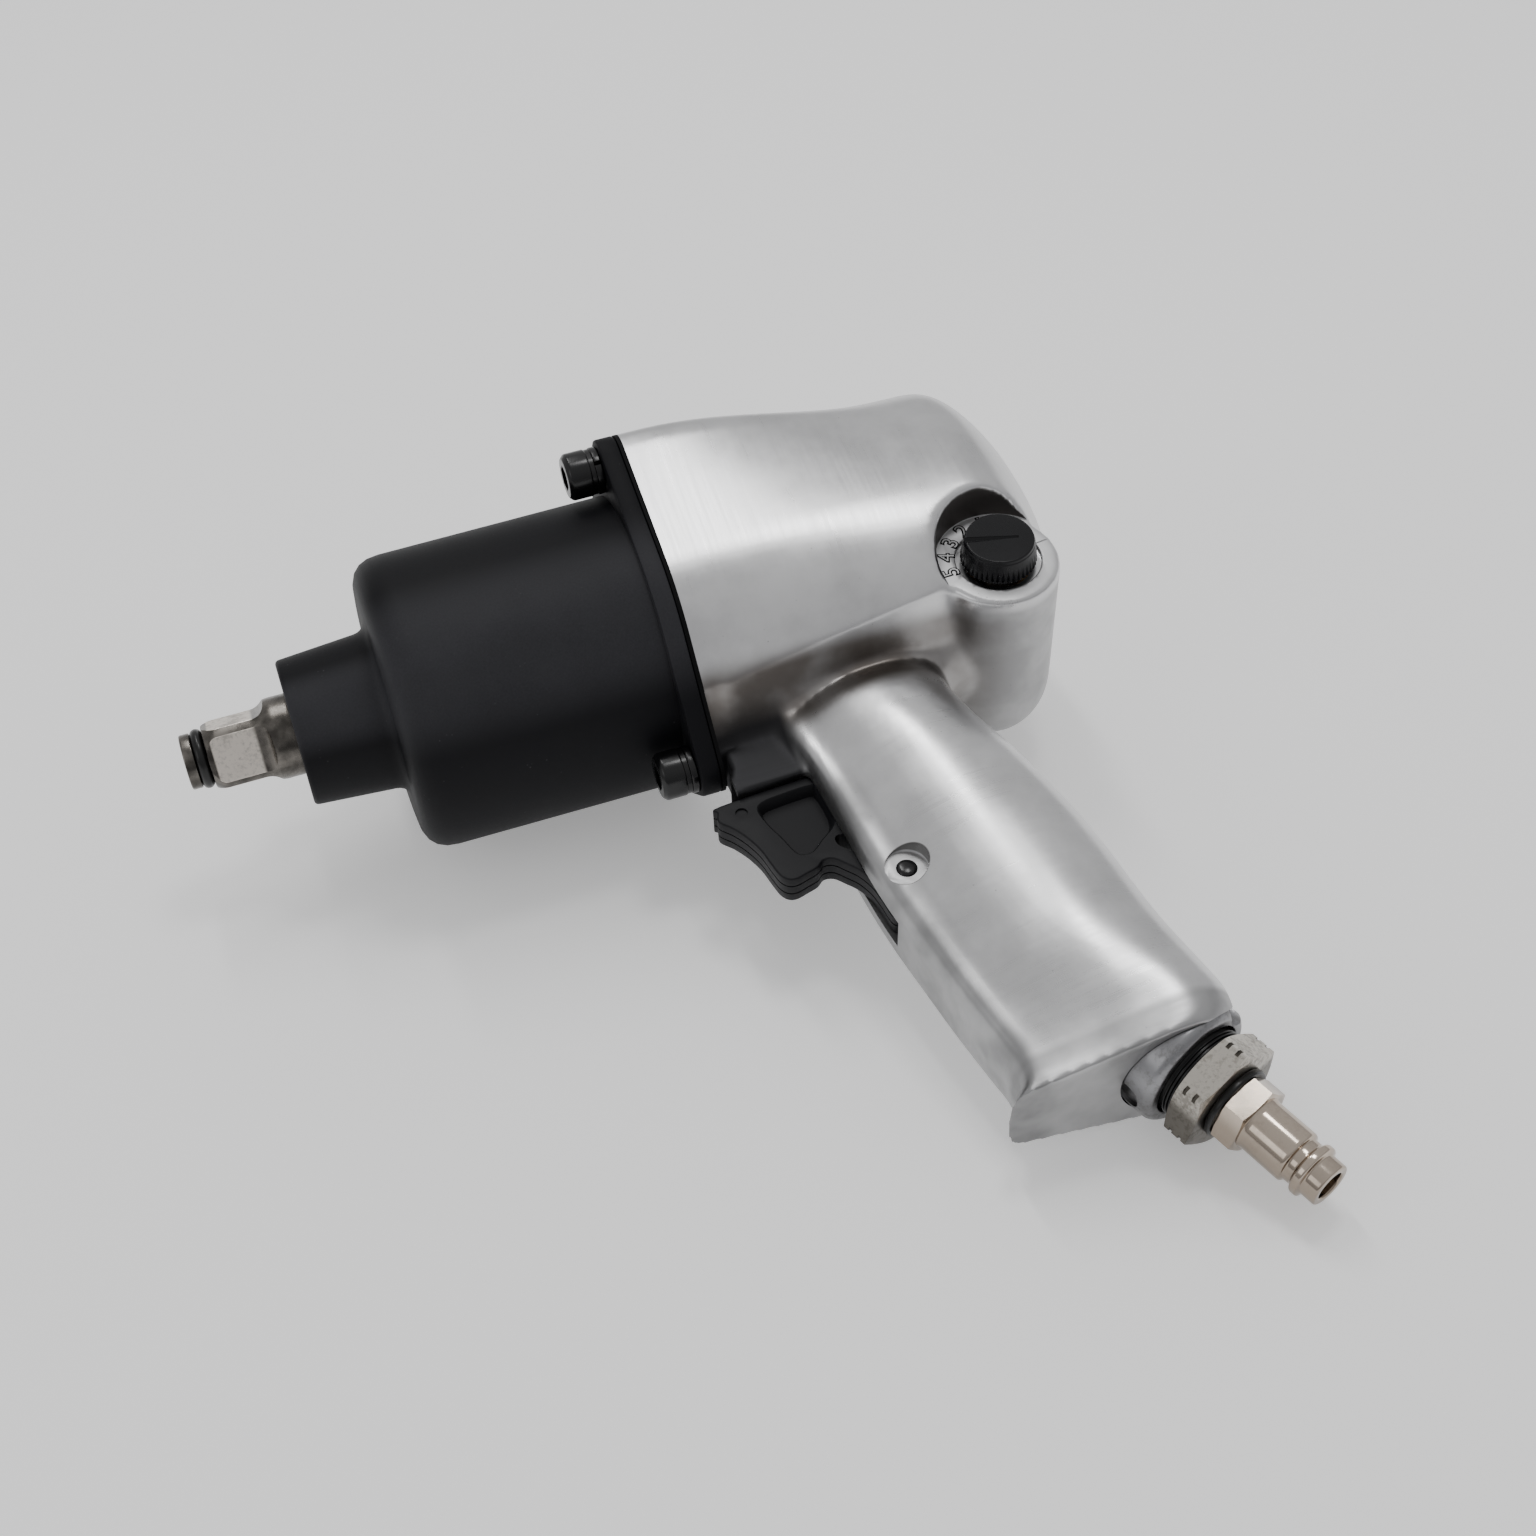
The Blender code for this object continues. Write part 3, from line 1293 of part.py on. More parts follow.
def build_trigger():
    half = TRIGGER_THICKNESS / 2
    trigger = extruded("trigger", tool_points(TRIGGER_OUTLINE), -half, half, PIVOT, "black_plastic")
    bevel(trigger, TRIGGER_EDGE, 2, 50)
    recess = tool_points(TRIGGER_RECESS_OUTLINE)
    for side in (1, -1):
        low, high = sorted((side * (half - TRIGGER_RECESS), side * (half + CUT_OVER)))
        combine(trigger, extruded(f"trigger_recess_{side}", recess, low, high, PIVOT, cutter=True))
    window = extruded(
        "trigger_window",
        tool_points(TRIGGER_WINDOW),
        -2 * half,
        2 * half,
        PIVOT,
        cutter=True,
    )
    combine(trigger, window)
    mark_at = tool_points([TRIGGER_MARK_AT])[0]
    mark = rod(
        "trigger_mark", TRIGGER_MARK_RADIUS, half - TRIGGER_MARK_DEPTH, half + CUT_OVER, PIVOT, cutter=True
    )
    combine(trigger, moved(mark, (*mark_at, 0)))
    hole = rod("trigger_hole", PIVOT_PIN_RADIUS + SEAT_GAP, -2 * half, 2 * half, PIVOT, cutter=True)
    combine(trigger, hole)
    smooth(trigger, 35)
    rod("trigger_pin", PIVOT_PIN_RADIUS, -PIN_SEAT, PIN_SEAT, PIVOT, "black_steel", edge=0.4 * MM)


def build_throttle():
    sleeve_front = -SLOT_BACK - RUN_GAP
    sleeve_back = sleeve_front - THROTTLE_SLEEVE_LENGTH
    ring(
        "throttle_sleeve",
        THROTTLE_ROD_RADIUS + RUN_GAP,
        THROTTLE_BORE - SEAT_GAP,
        sleeve_back,
        sleeve_front,
        THROTTLE,
        "bronze",
        SMALL,
    )
    tip = -TRIGGER_BACK - RUN_GAP
    head_front = sleeve_back - RUN_GAP
    head_back = head_front - THROTTLE_HEAD_LENGTH
    radius = THROTTLE_ROD_RADIUS
    dome = [
        (radius * math.sin(t), tip - radius + radius * math.cos(t))
        for t in np.linspace(0, math.pi / 2, 5)
    ]
    profile = dome + [
        (radius, head_front),
        (THROTTLE_HEAD_RADIUS, head_front),
        (THROTTLE_HEAD_RADIUS, head_back + 1.2 * MM),
        (radius, head_back),
        (0, head_back),
    ]
    smooth(turned("throttle_rod", profile, THROTTLE, "bright_steel", SMALL))
    seat = -THROTTLE_BORE_END + THROTTLE_SPRING_WIRE + SEAT_GAP
    end = head_back - THROTTLE_SPRING_WIRE - RUN_GAP
    coil("throttle_spring", seat, end)


def coil(name, low, high):
    """An open coil of wire between two heights of the throttle axis."""
    per_turn = 10
    count = THROTTLE_SPRING_TURNS * per_turn + 1
    turns = np.linspace(0, 2 * math.pi * THROTTLE_SPRING_TURNS, count)
    heights = np.linspace(low, high, count)
    pitch = (high - low) / THROTTLE_SPRING_TURNS
    print(f"{name}: least gap between turns {(pitch - 2 * THROTTLE_SPRING_WIRE) / MM:.2f} mm")
    curve = bpy.data.curves.new(name, "CURVE")
    curve.dimensions = "3D"
    curve.bevel_depth = THROTTLE_SPRING_WIRE
    curve.bevel_resolution = 1
    curve.use_fill_caps = True
    spline = curve.splines.new("POLY")
    spline.points.add(count - 1)
    for point, turn, height in zip(spline.points, turns, heights):
        x = THROTTLE_SPRING_RADIUS * math.cos(turn)
        y = THROTTLE_SPRING_RADIUS * math.sin(turn)
        point.co = (x, y, height, 1)
    place(bpy.data.objects.new(name, curve), THROTTLE, "bright_steel")


def chamfered_hexagon(name, flats, low, high, frame, material, turn, cutter=False):
    """A hexagon bar with both ends chamfered, as on a turned nut."""
    bar = extruded(name, hexagon(flats, turn), low, high, frame, material, cutter)
    corner = flats / math.sqrt(3)
    slope = (corner - flats / 2) * 0.6
    profile = [
        (0, high),
        (flats / 2, high),
        (corner, high - slope),
        (corner, low + slope),
        (flats / 2, low),
        (0, low),
    ]
    limit = turned(name + "_chamfer", profile, frame, cutter=True)
    return combine(bar, limit, "INTERSECT")


def build_inlet():
    bushing = rod(
        "inlet_bushing",
        INLET_SHANK_RADIUS,
        INLET_SHANK_START,
        0,
        INLET,
        "dull_nickel",
        ROUND,
        edge=0.8 * MM,
    )
    nut = chamfered_hexagon(
        "inlet_hex_form",
        INLET_HEX_FLATS,
        -INLET_HEX_HALF,
        INLET_HEX_HALF,
        INLET,
        None,
        INLET_HEX_TURN,
        cutter=True,
    )
    combine(bushing, nut, "UNION")
    thread_end = INLET_HEX_HALF - NIPPLE_SHANK_LENGTH
    bore = [
        (0, INLET_HEX_HALF + CUT_OVER),
        (NIPPLE_SHANK_RADIUS + SEAT_GAP, INLET_HEX_HALF + CUT_OVER),
        (NIPPLE_SHANK_RADIUS + SEAT_GAP, thread_end),
        (INLET_BORE, thread_end - 1 * MM),
        (INLET_BORE, INLET_SHANK_START - CUT_OVER),
        (0, INLET_SHANK_START - CUT_OVER),
    ]
    combine(bushing, turned("bushing_bore", bore, INLET, cutter=True))
    smooth(bushing, 30)
    seal_low = DEFLECTOR_END + RUN_GAP
    seal_high = -INLET_HEX_HALF - RUN_GAP
    inner = INLET_SHANK_RADIUS + SEAT_GAP
    ring("inlet_seal", inner, INLET_SEAL_RADIUS, seal_low, seal_high, INLET, "black_rubber", edge=0.6 * MM)
    screen_low = INLET_SHANK_START - SEAT_GAP - SCREEN_THICKNESS
    screen_high = screen_low + SCREEN_THICKNESS
    screen = rod(
        "inlet_screen",
        INLET_SHANK_RADIUS - RUN_GAP,
        screen_low,
        screen_high,
        INLET,
        "bright_steel",
    )
    for number in range(SCREEN_HOLES):
        turn = 2 * math.pi * number / SCREEN_HOLES
        hole = rod(
            f"screen_hole_{number + 1}",
            SCREEN_HOLE_RADIUS,
            screen_low - CUT_OVER,
            screen_high + CUT_OVER,
            INLET,
            steps=SMALL // 2,
            cutter=True,
        )
        spot = (SCREEN_HOLE_CIRCLE * math.cos(turn), SCREEN_HOLE_CIRCLE * math.sin(turn), 0)
        combine(screen, moved(hole, spot))
    smooth(screen)
    build_deflector()
    build_nipple()


def build_deflector():
    """The swivelling exhaust ring: a plain collar with a scoop let into its lip."""
    inner = INLET_SHANK_RADIUS + RUN_GAP
    lip = 1.6 * MM
    profile = [
        (inner, DEFLECTOR_END),
        (DEFLECTOR_RADIUS - lip, DEFLECTOR_END),
        (DEFLECTOR_RADIUS - lip / 4, DEFLECTOR_END - lip / 2),
        (DEFLECTOR_RADIUS, DEFLECTOR_END - lip),
        (DEFLECTOR_RADIUS, DEFLECTOR_START),
        (inner, DEFLECTOR_START),
    ]
    collar = turned("exhaust_deflector", profile, INLET, "polished_aluminium", ROUND, closed=True)
    floor = DEFLECTOR_RADIUS - DEFLECTOR_NOTCH
    scoop = box(
        "deflector_scoop",
        (-DEFLECTOR_RADIUS, floor, DEFLECTOR_START - CUT_OVER),
        (0, 2 * DEFLECTOR_RADIUS, DEFLECTOR_END + CUT_OVER),
        INLET,
        cutter=True,
    )
    combine(collar, moved(scoop, (0, 0, 0), -70))
    smooth(collar, 30)


def build_nipple():
    hex_end = NIPPLE_HEX_START + NIPPLE_HEX_LENGTH
    seal_low = INLET_HEX_HALF + SEAT_GAP
    ring(
        "nipple_seal",
        NIPPLE_SHANK_RADIUS + SEAT_GAP,
        NIPPLE_SEAL_RADIUS,
        seal_low,
        seal_low + NIPPLE_SEAL_LENGTH,
        INLET,
        "black_rubber",
        edge=0.3 * MM,
    )
    body_end = hex_end + NIPPLE_BODY_LENGTH
    neck_end = body_end + NIPPLE_NECK_LENGTH
    ridge_end = neck_end + NIPPLE_RIDGE_LENGTH
    tip_end = ridge_end + NIPPLE_TIP_LENGTH
    edge = 0.5 * MM
    low = INLET_HEX_HALF - NIPPLE_SHANK_LENGTH + 2 * RUN_GAP
    profile = [
        (NIPPLE_BORE, tip_end),
        (NIPPLE_TIP_RADIUS - edge, tip_end),
        (NIPPLE_TIP_RADIUS, tip_end - edge),
        (NIPPLE_TIP_RADIUS, ridge_end + edge),
        (NIPPLE_RIDGE_RADIUS, ridge_end),
        (NIPPLE_RIDGE_RADIUS, neck_end),
        (NIPPLE_NECK_RADIUS, neck_end - edge),
        (NIPPLE_NECK_RADIUS, body_end + edge),
        (NIPPLE_BODY_RADIUS - edge, body_end),
        (NIPPLE_BODY_RADIUS, body_end - edge),
        (NIPPLE_BODY_RADIUS, hex_end - edge),
        (NIPPLE_SHANK_RADIUS, hex_end - 2 * edge),
        (NIPPLE_SHANK_RADIUS, low),
        (NIPPLE_BORE, low),
    ]
    nipple = turned("air_nipple", profile, INLET, "nickel", ROUND, closed=True)
    nut = chamfered_hexagon(
        "nipple_hex_form", NIPPLE_HEX_FLATS, NIPPLE_HEX_START, hex_end, INLET, None, 10, cutter=True
    )
    hollow = rod(
        "nipple_hex_hollow",
        NIPPLE_BORE,
        NIPPLE_HEX_START - CUT_OVER,
        hex_end + CUT_OVER,
        INLET,
        steps=ROUND,
        cutter=True,
    )
    combine(nut, hollow)
    combine(nipple, nut, "UNION")
    smooth(nipple, 30)


def lay_down():
    """Lays the tool on its right side, on an ear and the side of the handle, over the origin."""
    grip_half = HANDLE_STATIONS[-3][3] * MM
    grip_drop = HANDLE_STATIONS[-3][0] * MM
    ear = math.radians(EAR_ANGLES[0])
    side = EAR_CIRCLE * math.sin(ear)
    drop = grip_drop + EAR_CIRCLE * math.cos(ear)
    lean = math.acos((grip_half - EAR_RADIUS) / math.hypot(side, drop)) - math.atan2(drop, side)
    axes = Matrix(((-1, 0, 0, 0), (0, 0, 1, 0), (0, 1, 0, 0), (0, 0, 0, 1)))
    turn = Matrix.Rotation(lean, 4, "X") @ axes
    REST.matrix_local = turn
    bpy.context.view_layer.update()
    graph = bpy.context.evaluated_depsgraph_get()
    corners = []
    for obj in PARTS.objects:
        if obj.type == "EMPTY":
            continue
        piece = obj.evaluated_get(graph)
        mesh = piece.to_mesh()
        points = np.empty(len(mesh.vertices) * 3, np.float32)
        mesh.vertices.foreach_get("co", points)
        piece.to_mesh_clear()
        world = np.array(piece.matrix_world)
        points = points.reshape(-1, 3) @ world[:3, :3].T + world[:3, 3]
        corners += [points.min(axis=0), points.max(axis=0)]
    low = np.min(corners, axis=0)
    high = np.max(corners, axis=0)
    shift = Vector((-(low[0] + high[0]) / 2, -(low[1] + high[1]) / 2, -low[2]))
    REST.matrix_local = Matrix.Translation(shift) @ turn
    bpy.context.view_layer.update()


build_casting()
build_case()
build_screws()
build_anvil()
build_clutch()
build_motor()
build_regulator()
build_trigger()
build_throttle()
build_inlet()
lay_down()
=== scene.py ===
"""Air impact wrench: the visible pieces, finishes and stage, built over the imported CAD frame.

Pieces are modelled in the tool's own frame or in that of one of its axes, and are then laid where the
CAD has them. In the tool frame x runs forward along the drive, y out of the side with the knob, and z
up from the handle. Its origin lies on the drive axis where the casting meets the gasket. Lengths are in
millimetres, which the modelling helpers turn into metres.
"""

import json
import math
from types import SimpleNamespace

import bpy
import numpy as np
from mathutils import Matrix, Vector


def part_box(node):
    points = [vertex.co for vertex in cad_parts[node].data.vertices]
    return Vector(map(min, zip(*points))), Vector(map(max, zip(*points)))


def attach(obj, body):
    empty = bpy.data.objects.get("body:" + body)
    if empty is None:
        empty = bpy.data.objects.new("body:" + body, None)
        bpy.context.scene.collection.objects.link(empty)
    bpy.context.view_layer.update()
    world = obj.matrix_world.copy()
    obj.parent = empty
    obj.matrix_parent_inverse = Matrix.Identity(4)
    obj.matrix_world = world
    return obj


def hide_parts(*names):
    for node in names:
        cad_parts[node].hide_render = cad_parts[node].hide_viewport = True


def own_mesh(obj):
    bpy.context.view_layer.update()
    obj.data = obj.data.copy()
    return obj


bl_info = {
    "name": "Air impact wrench",
    "version": (1, 0, 0),
    "blender": (4, 5, 0),
    "location": "3D View > Sidebar > Wrench",
    "description": "Builds the visible pieces of an air impact wrench over its CAD frame",
    "category": "Object",
}

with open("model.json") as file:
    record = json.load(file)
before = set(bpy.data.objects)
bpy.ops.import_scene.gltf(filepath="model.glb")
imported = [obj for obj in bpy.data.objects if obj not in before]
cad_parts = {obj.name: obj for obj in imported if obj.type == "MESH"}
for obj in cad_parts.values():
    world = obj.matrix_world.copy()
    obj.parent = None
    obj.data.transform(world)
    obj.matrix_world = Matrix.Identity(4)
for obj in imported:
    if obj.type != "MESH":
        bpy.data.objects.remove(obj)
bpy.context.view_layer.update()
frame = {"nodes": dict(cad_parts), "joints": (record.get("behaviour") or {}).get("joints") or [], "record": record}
JOINTS = {joint["name"]: joint for joint in frame["joints"]}
MM = 0.001


def turned(angle, axis="Z"):
    """A turn by degrees about an axis."""
    return Matrix.Rotation(math.radians(angle), 4, axis)


def shifted(x, y, z):
    """A move in millimetres."""
    return Matrix.Translation((x * MM, y * MM, z * MM))


def tool_frame():
    """The tool's frame in the world, from the axes of its joints."""
    forward = Vector(JOINTS["rotor_spin"]["axis"]).normalized()
    left = Vector(JOINTS["regulator_turn"]["axis"]).normalized()
    turn = Matrix((forward, left, forward.cross(left))).transposed().to_4x4()
    return Matrix.Translation(JOINTS["rotor_spin"]["pos_m"]) @ turn


ALONG_X = turned(90, "Y")
ALONG_Y = turned(-90, "X")
TOOL = tool_frame()
DRIVE = ALONG_X
# Places behind the gasket and below the drive axis
KNOB_BACK, KNOB_DROP = 66.6, 25.8
PIVOT_BACK, PIVOT_DROP = 23.5, 84.0
KNOB = shifted(-KNOB_BACK, 0, -KNOB_DROP) @ ALONG_Y
PIVOT = shifted(-PIVOT_BACK, 0, -PIVOT_DROP) @ ALONG_Y
THROTTLE = shifted(0, 0, -63.0) @ ALONG_X
INLET = shifted(-60.9, 0, -144.4) @ turned(180 + 20.7, "Y")

# Casting round the motor: distance before the rear end, and size of the section there
REAR_ROUNDING = (
    (18.0, 1.0), (15.0, 0.99), (12.0, 0.955), (9.0, 0.885), (6.0, 0.785), (3.0, 0.655), (1.0, 0.54),
    (0.0, 0.44),
)
# Grip: drop below the drive axis, front and rear edge behind the gasket, half width
GRIP_STATIONS = (
    (18.0, 8.0, 56.0, 7.6), (27.0, 9.6, 55.0, 8.4), (33.0, 11.6, 52.2, 10.4), (40.0, 13.2, 51.4, 13.6),
    (52.0, 15.3, 53.0, 16.3), (66.0, 16.4, 57.6, 17.3), (86.0, 17.9, 62.8, 17.4),
    (108.0, 21.3, 65.8, 17.0), (122.0, 23.6, 68.4, 16.2), (130.0, 25.0, 70.0, 15.5),
    (135.0, 24.6, 69.0, 14.9), (138.0, 21.6, 66.6, 14.4),
)
# Sections of the grip as shares of its depth and half width, from the middle of the front to the rear
GRIP_SECTION = (
    (0.0, 0.0), (0.0, 0.34), (0.035, 0.53), (0.13, 0.6), (0.34, 0.86), (0.58, 1.0), (0.8, 0.9),
    (0.94, 0.58), (1.0, 0.0),
)
END_SECTION = (
    (0.0, 0.0), (0.015, 0.36), (0.05, 0.58), (0.14, 0.66), (0.34, 0.78), (0.58, 0.92), (0.8, 0.99),
    (0.95, 0.68), (1.0, 0.0),
)
# Outlines of the trigger, in millimetres behind the gasket and below the drive axis
TRIGGER_OUTLINE = (
    (-4.0, 52.4), (-5.1, 54.0), (-5.6, 56.2), (-3.5, 58.8), (-1.6, 62.0), (-0.1, 65.9), (0.7, 70.0),
    (1.4, 72.9), (2.6, 74.5), (4.3, 74.9), (6.7, 74.3), (9.0, 73.6), (10.7, 72.4), (12.7, 72.8),
    (14.6, 74.9), (16.4, 77.2), (17.8, 80.4), (18.5, 84.1), (19.2, 88.6), (21.6, 89.2), (25.4, 88.0),
    (27.6, 85.6), (27.6, 82.0), (25.2, 77.2), (22.0, 71.8), (19.7, 66.5), (19.3, 60.0), (18.6, 53.4),
    (17.0, 51.5),
)
TRIGGER_RECESS = (
    (2.8, 56.3), (4.2, 54.6), (8.6, 54.0), (14.6, 53.8), (16.0, 55.0), (16.2, 63.6), (12.0, 67.6),
    (9.6, 69.5), (7.7, 69.7), (6.3, 68.6), (4.9, 64.1), (3.6, 60.5),
)
TRIGGER_WINDOW = ((14.6, 68.2), (15.7, 67.5), (17.4, 68.4), (18.6, 71.4), (17.2, 72.4), (14.9, 70.2))
HOOD_OUTLINE = ((0.8, 41.0), (0.8, 45.4), (-2.6, 52.0), (18.0, 51.0), (24.0, 47.0), (24.0, 41.0))
DIAL_NUMBERS = (("5", -2.0), ("4", 21.5), ("3", 45.0), ("2", 68.5), ("1", 92.0))
EAR_ANGLES = (60.0, 180.0, 300.0)
SQUARE_TURN = 35.0
INLET_HEX_TURN = 20.0
NICK_HEIGHT = 1.1
CASTING_LENGTH = 83.0
EAR_FADE_START, EAR_FADE_LENGTH = 4.0, 65.0
RIDGE_ANGLE, RIDGE_TURN = 154.0, 0.23  # degrees from the top at the gasket, and degrees per millimetre
RIDGE_LIFT, RIDGE_LIFT_ANGLE, RIDGE_RUN_IN = 1.7, 34.0, 5.0
RIDGE_TUCK, RIDGE_TUCK_ANGLE = 0.42, 9.0
REAR_SPREAD, REAR_RISE, REAR_SQUARENESS = 0.1, 1.1, 2.55
END_START, END_RUN = 108.0, 30.0  # drop at which the grip begins to change into its end, and over what
BOSS_RADIUS, BOSS_STRAIGHT, BOSS_DOME = 12.9, 34.0, 15.0
HOOD_HALF_WIDTH = 5.3
MOTOR_BORE = 29.2
SCREW_HOLE = 3.1
PIN_HOLE = 2.1
PIN_SEAT, PIN_SEAT_FLOOR = 4.3, 9.2  # the hollow over the pin's end
NOSE_BORE = 11.25
CASE_FRONT_WALL = 6.5
CASE_WALL = 3.6
RUN_GAP = 0.3
DIGIT_SIZE, DIGIT_CIRCLE = 5.0, 10.6
KNOB_RIBS, RIB_POINTS, RIB_DEPTH = 44, 6, 0.42
POINTER_TURN = -15.0
SPRING_RADIUS, SPRING_TURNS, SPRING_TRAVEL = 3.4, 4, 3.4
COLLAR_RADIUS, COLLAR_LIP = 13.0, -5.4
NIPPLE_BORE = 2.9
SQUARE_START, SQUARE_LENGTH = 7.8, 10.6  # ahead of the nose
SHOULDER, SCOOP = 3.4, 3.1
RING_RADIUS, RING_WIRE = 5.1, 1.25
TRIGGER_MARK = (-0.6, 55.7)


def length(label, note, value):
    return bpy.props.FloatProperty(
        name=label, description=note, default=value * MM, unit="LENGTH", precision=5
    )


def colour(label, note, value):
    return bpy.props.FloatVectorProperty(
        name=label, description=note, default=value, size=3, subtype="COLOR", min=0, max=1
    )


class WrenchSizes(bpy.types.PropertyGroup):
    """Sizes of the visible pieces."""

    body_radius: length("Body radius", "Radius of the flange between the ears", 33.5)
    ear_circle: length("Screw circle", "Radius of the circle of case screws", 38.3)
    ear_radius: length("Ear radius", "Radius of the ear round a case screw", 6.2)
    gasket: length("Gasket", "Thickness of the gasket behind the hammer case", 0.8)
    flange: length("Flange", "Thickness of the hammer case's flange", 4.2)
    case_length: length("Case length", "Hammer case from its flange to its shoulder", 59.8)
    case_radius: length("Case radius", "Radius of the hammer case at its shoulder", 31.6)
    case_corner: length("Case corner", "Rounding of the hammer case's shoulder", 6.0)
    nose_length: length("Nose length", "Nose ahead of the hammer case's shoulder", 19.7)
    nose_radius: length("Nose radius", "Radius of the nose at its front", 15.6)
    screw_head: length("Screw head", "Radius of a case screw's head", 5.0)
    square: length("Square drive", "Side of the square drive", 12.7)
    collar: length("Collar", "Radius of the anvil's collar", 8.75)
    knob_radius: length("Knob radius", "Radius of the regulator knob's skirt", 8.0)
    knob_height: length("Knob height", "Height of the regulator knob", 5.6)
    dial_radius: length("Dial radius", "Radius of the pocket round the knob", 13.0)
    dial_floor: length("Dial floor", "Height of the dial's floor beside the drive axis", 23.5)
    trigger: length("Trigger", "Thickness of the trigger", 7.0)
    hexagon: length("Inlet hexagon", "Width of the inlet bushing across its flats", 20.6)
    nipple: length("Nipple", "Radius of the nipple's body", 5.4)
    spring_wire: length("Spring wire", "Radius of the throttle spring's wire", 0.7)
    grain: length("Skin grain", "Spacing of points on the casting's skin", 0.7)


def in_mm(context):
    """The scene's sizes in millimetres."""
    group = context.scene.wrench_sizes
    return SimpleNamespace(**{key: getattr(group, key) / MM for key in group.__annotations__})


class WrenchColours(bpy.types.PropertyGroup):
    """Base colours of the finishes."""

    aluminium: colour("Aluminium", "Polished casting", (0.7, 0.7, 0.705))
    case_paint: colour("Case paint", "Matt coat of the hammer case", (0.0055, 0.0055, 0.0068))
    black_steel: colour("Black steel", "Oiled black screws", (0.003, 0.003, 0.0034))
    plastic: colour("Plastic", "Moulded trigger", (0.0065, 0.0065, 0.0078))
    gloss: colour("Gloss plastic", "Moulded knob", (0.0035, 0.0035, 0.0045))
    steel: colour("Steel", "Hardened anvil", (0.56, 0.52, 0.47))
    nickel: colour("Nickel", "Plated nipple", (0.56, 0.48, 0.4))
    dull_nickel: colour("Dull nickel", "Plated bushing", (0.52, 0.49, 0.44))
    floor: colour("Floor", "Plain floor", (0.93, 0.93, 0.93))


class Value:
    """A node's output on which arithmetic adds Math nodes."""

    def __init__(self, finish, socket):
        self.finish = finish
        self.socket = socket

    def math(self, operation, first, second=0.0):
        return self.finish.node("ShaderNodeMath", {"operation": operation}, {0: first, 1: second})

    def __add__(self, other):
        return self.math("ADD", self, other)

    def __sub__(self, other):
        return self.math("SUBTRACT", self, other)

    def __rsub__(self, other):
        return self.math("SUBTRACT", other, self)

    def __mul__(self, other):
        return self.math("MULTIPLY", self, other)

    def __pow__(self, other):
        return self.math("POWER", self, other)

    def __abs__(self):
        return self.math("ABSOLUTE", self)

    __radd__ = __add__
    __rmul__ = __mul__

    def between(self, low, high):
        """0 below low and 1 above high, smoothly."""
        return self.finish.node(
            "ShaderNodeMapRange",
            {"interpolation_type": "SMOOTHSTEP"},
            {"Value": self, "From Min": low, "From Max": high},
        )


class Nodes:
    """A node tree and what is added to it."""

    def __init__(self, tree):
        self.tree = tree

    def node(self, kind, settings=None, inputs=None, output=0):
        """Adds a node: its settings first, then the values or links of its sockets."""
        made = self.tree.nodes.new(kind)
        for key, value in (settings or {}).items():
            setattr(made, key, value)
        for key, item in (inputs or {}).items():
            self.link(made.inputs[key], item)
        return Value(self, made.outputs[output])

    def link(self, socket, item):
        if isinstance(item, Value):
            self.tree.links.new(item.socket, socket)
        else:
            socket.default_value = item


class Finish(Nodes):
    """A material with its shader and the nodes that feed it."""

    def __init__(self, name, **constants):
        self.material = bpy.data.materials.new(name)
        self.material.use_nodes = True
        super().__init__(self.material.node_tree)
        self.shader = self.tree.nodes["Principled BSDF"]
        for key, value in constants.items():
            self.feed(key.replace("_", " ").title().replace("Ior", "IOR"), value)

    def feed(self, name, item):
        """Sets or links one of the shader's sockets."""
        if name == "Base Color" and not isinstance(item, Value):
            item = (*item, 1)
        self.link(self.shader.inputs[name], item)

    def place(self):
        return self.node("ShaderNodeTexCoord", output="Object")

    def axes(self, matrix):
        """The three object coordinates in a frame of the tool, in millimetres."""
        at = self.mapped((1 / MM,) * 3, matrix)
        return [self.node("ShaderNodeSeparateXYZ", None, {0: at}, i) for i in range(3)]

    def mapped(self, scale, matrix=None):
        """Object coordinates, in a frame of the tool if one is given, stretched by scale."""
        vector = self.place()
        if matrix is not None:
            vector = self.node(
                "ShaderNodeMapping",
                {"vector_type": "TEXTURE"},
                {"Vector": vector, "Location": matrix.to_translation(), "Rotation": matrix.to_euler()},
            )
        return self.node("ShaderNodeMapping", {}, {"Vector": vector, "Scale": scale})

    def noise(self, scale, detail=2.0, vector=None, roughness=0.5):
        return self.node(
            "ShaderNodeTexNoise",
            {},
            {"Vector": vector or self.place(), "Scale": scale, "Detail": detail, "Roughness": roughness},
        )

    def specks(self, scale):
        """Distance to the nearest of scattered points."""
        return self.node("ShaderNodeTexVoronoi", {}, {"Vector": self.place(), "Scale": scale})

    def blend(self, share, first, second):
        """A colour between two, by share."""
        pair = {6: first if isinstance(first, Value) else (*first, 1)}
        pair[7] = second if isinstance(second, Value) else (*second, 1)
        return self.node("ShaderNodeMix", {"data_type": "RGBA"}, {0: share, **pair}, output=2)

    def bump(self, height, strength, distance):
        normal = self.node(
            "ShaderNodeBump", {}, {"Height": height, "Strength": strength, "Distance": distance * MM}
        )
        self.feed("Normal", normal)


def square_run(sizes):
    """Where the anvil's square starts and ends, ahead of the casting."""
    start = sizes.gasket + sizes.case_length + sizes.nose_length + SQUARE_START
    return start, start + SQUARE_LENGTH


def shade(tint, by):
    return tuple(min(max(channel * by, 0), 1) for channel in tint)


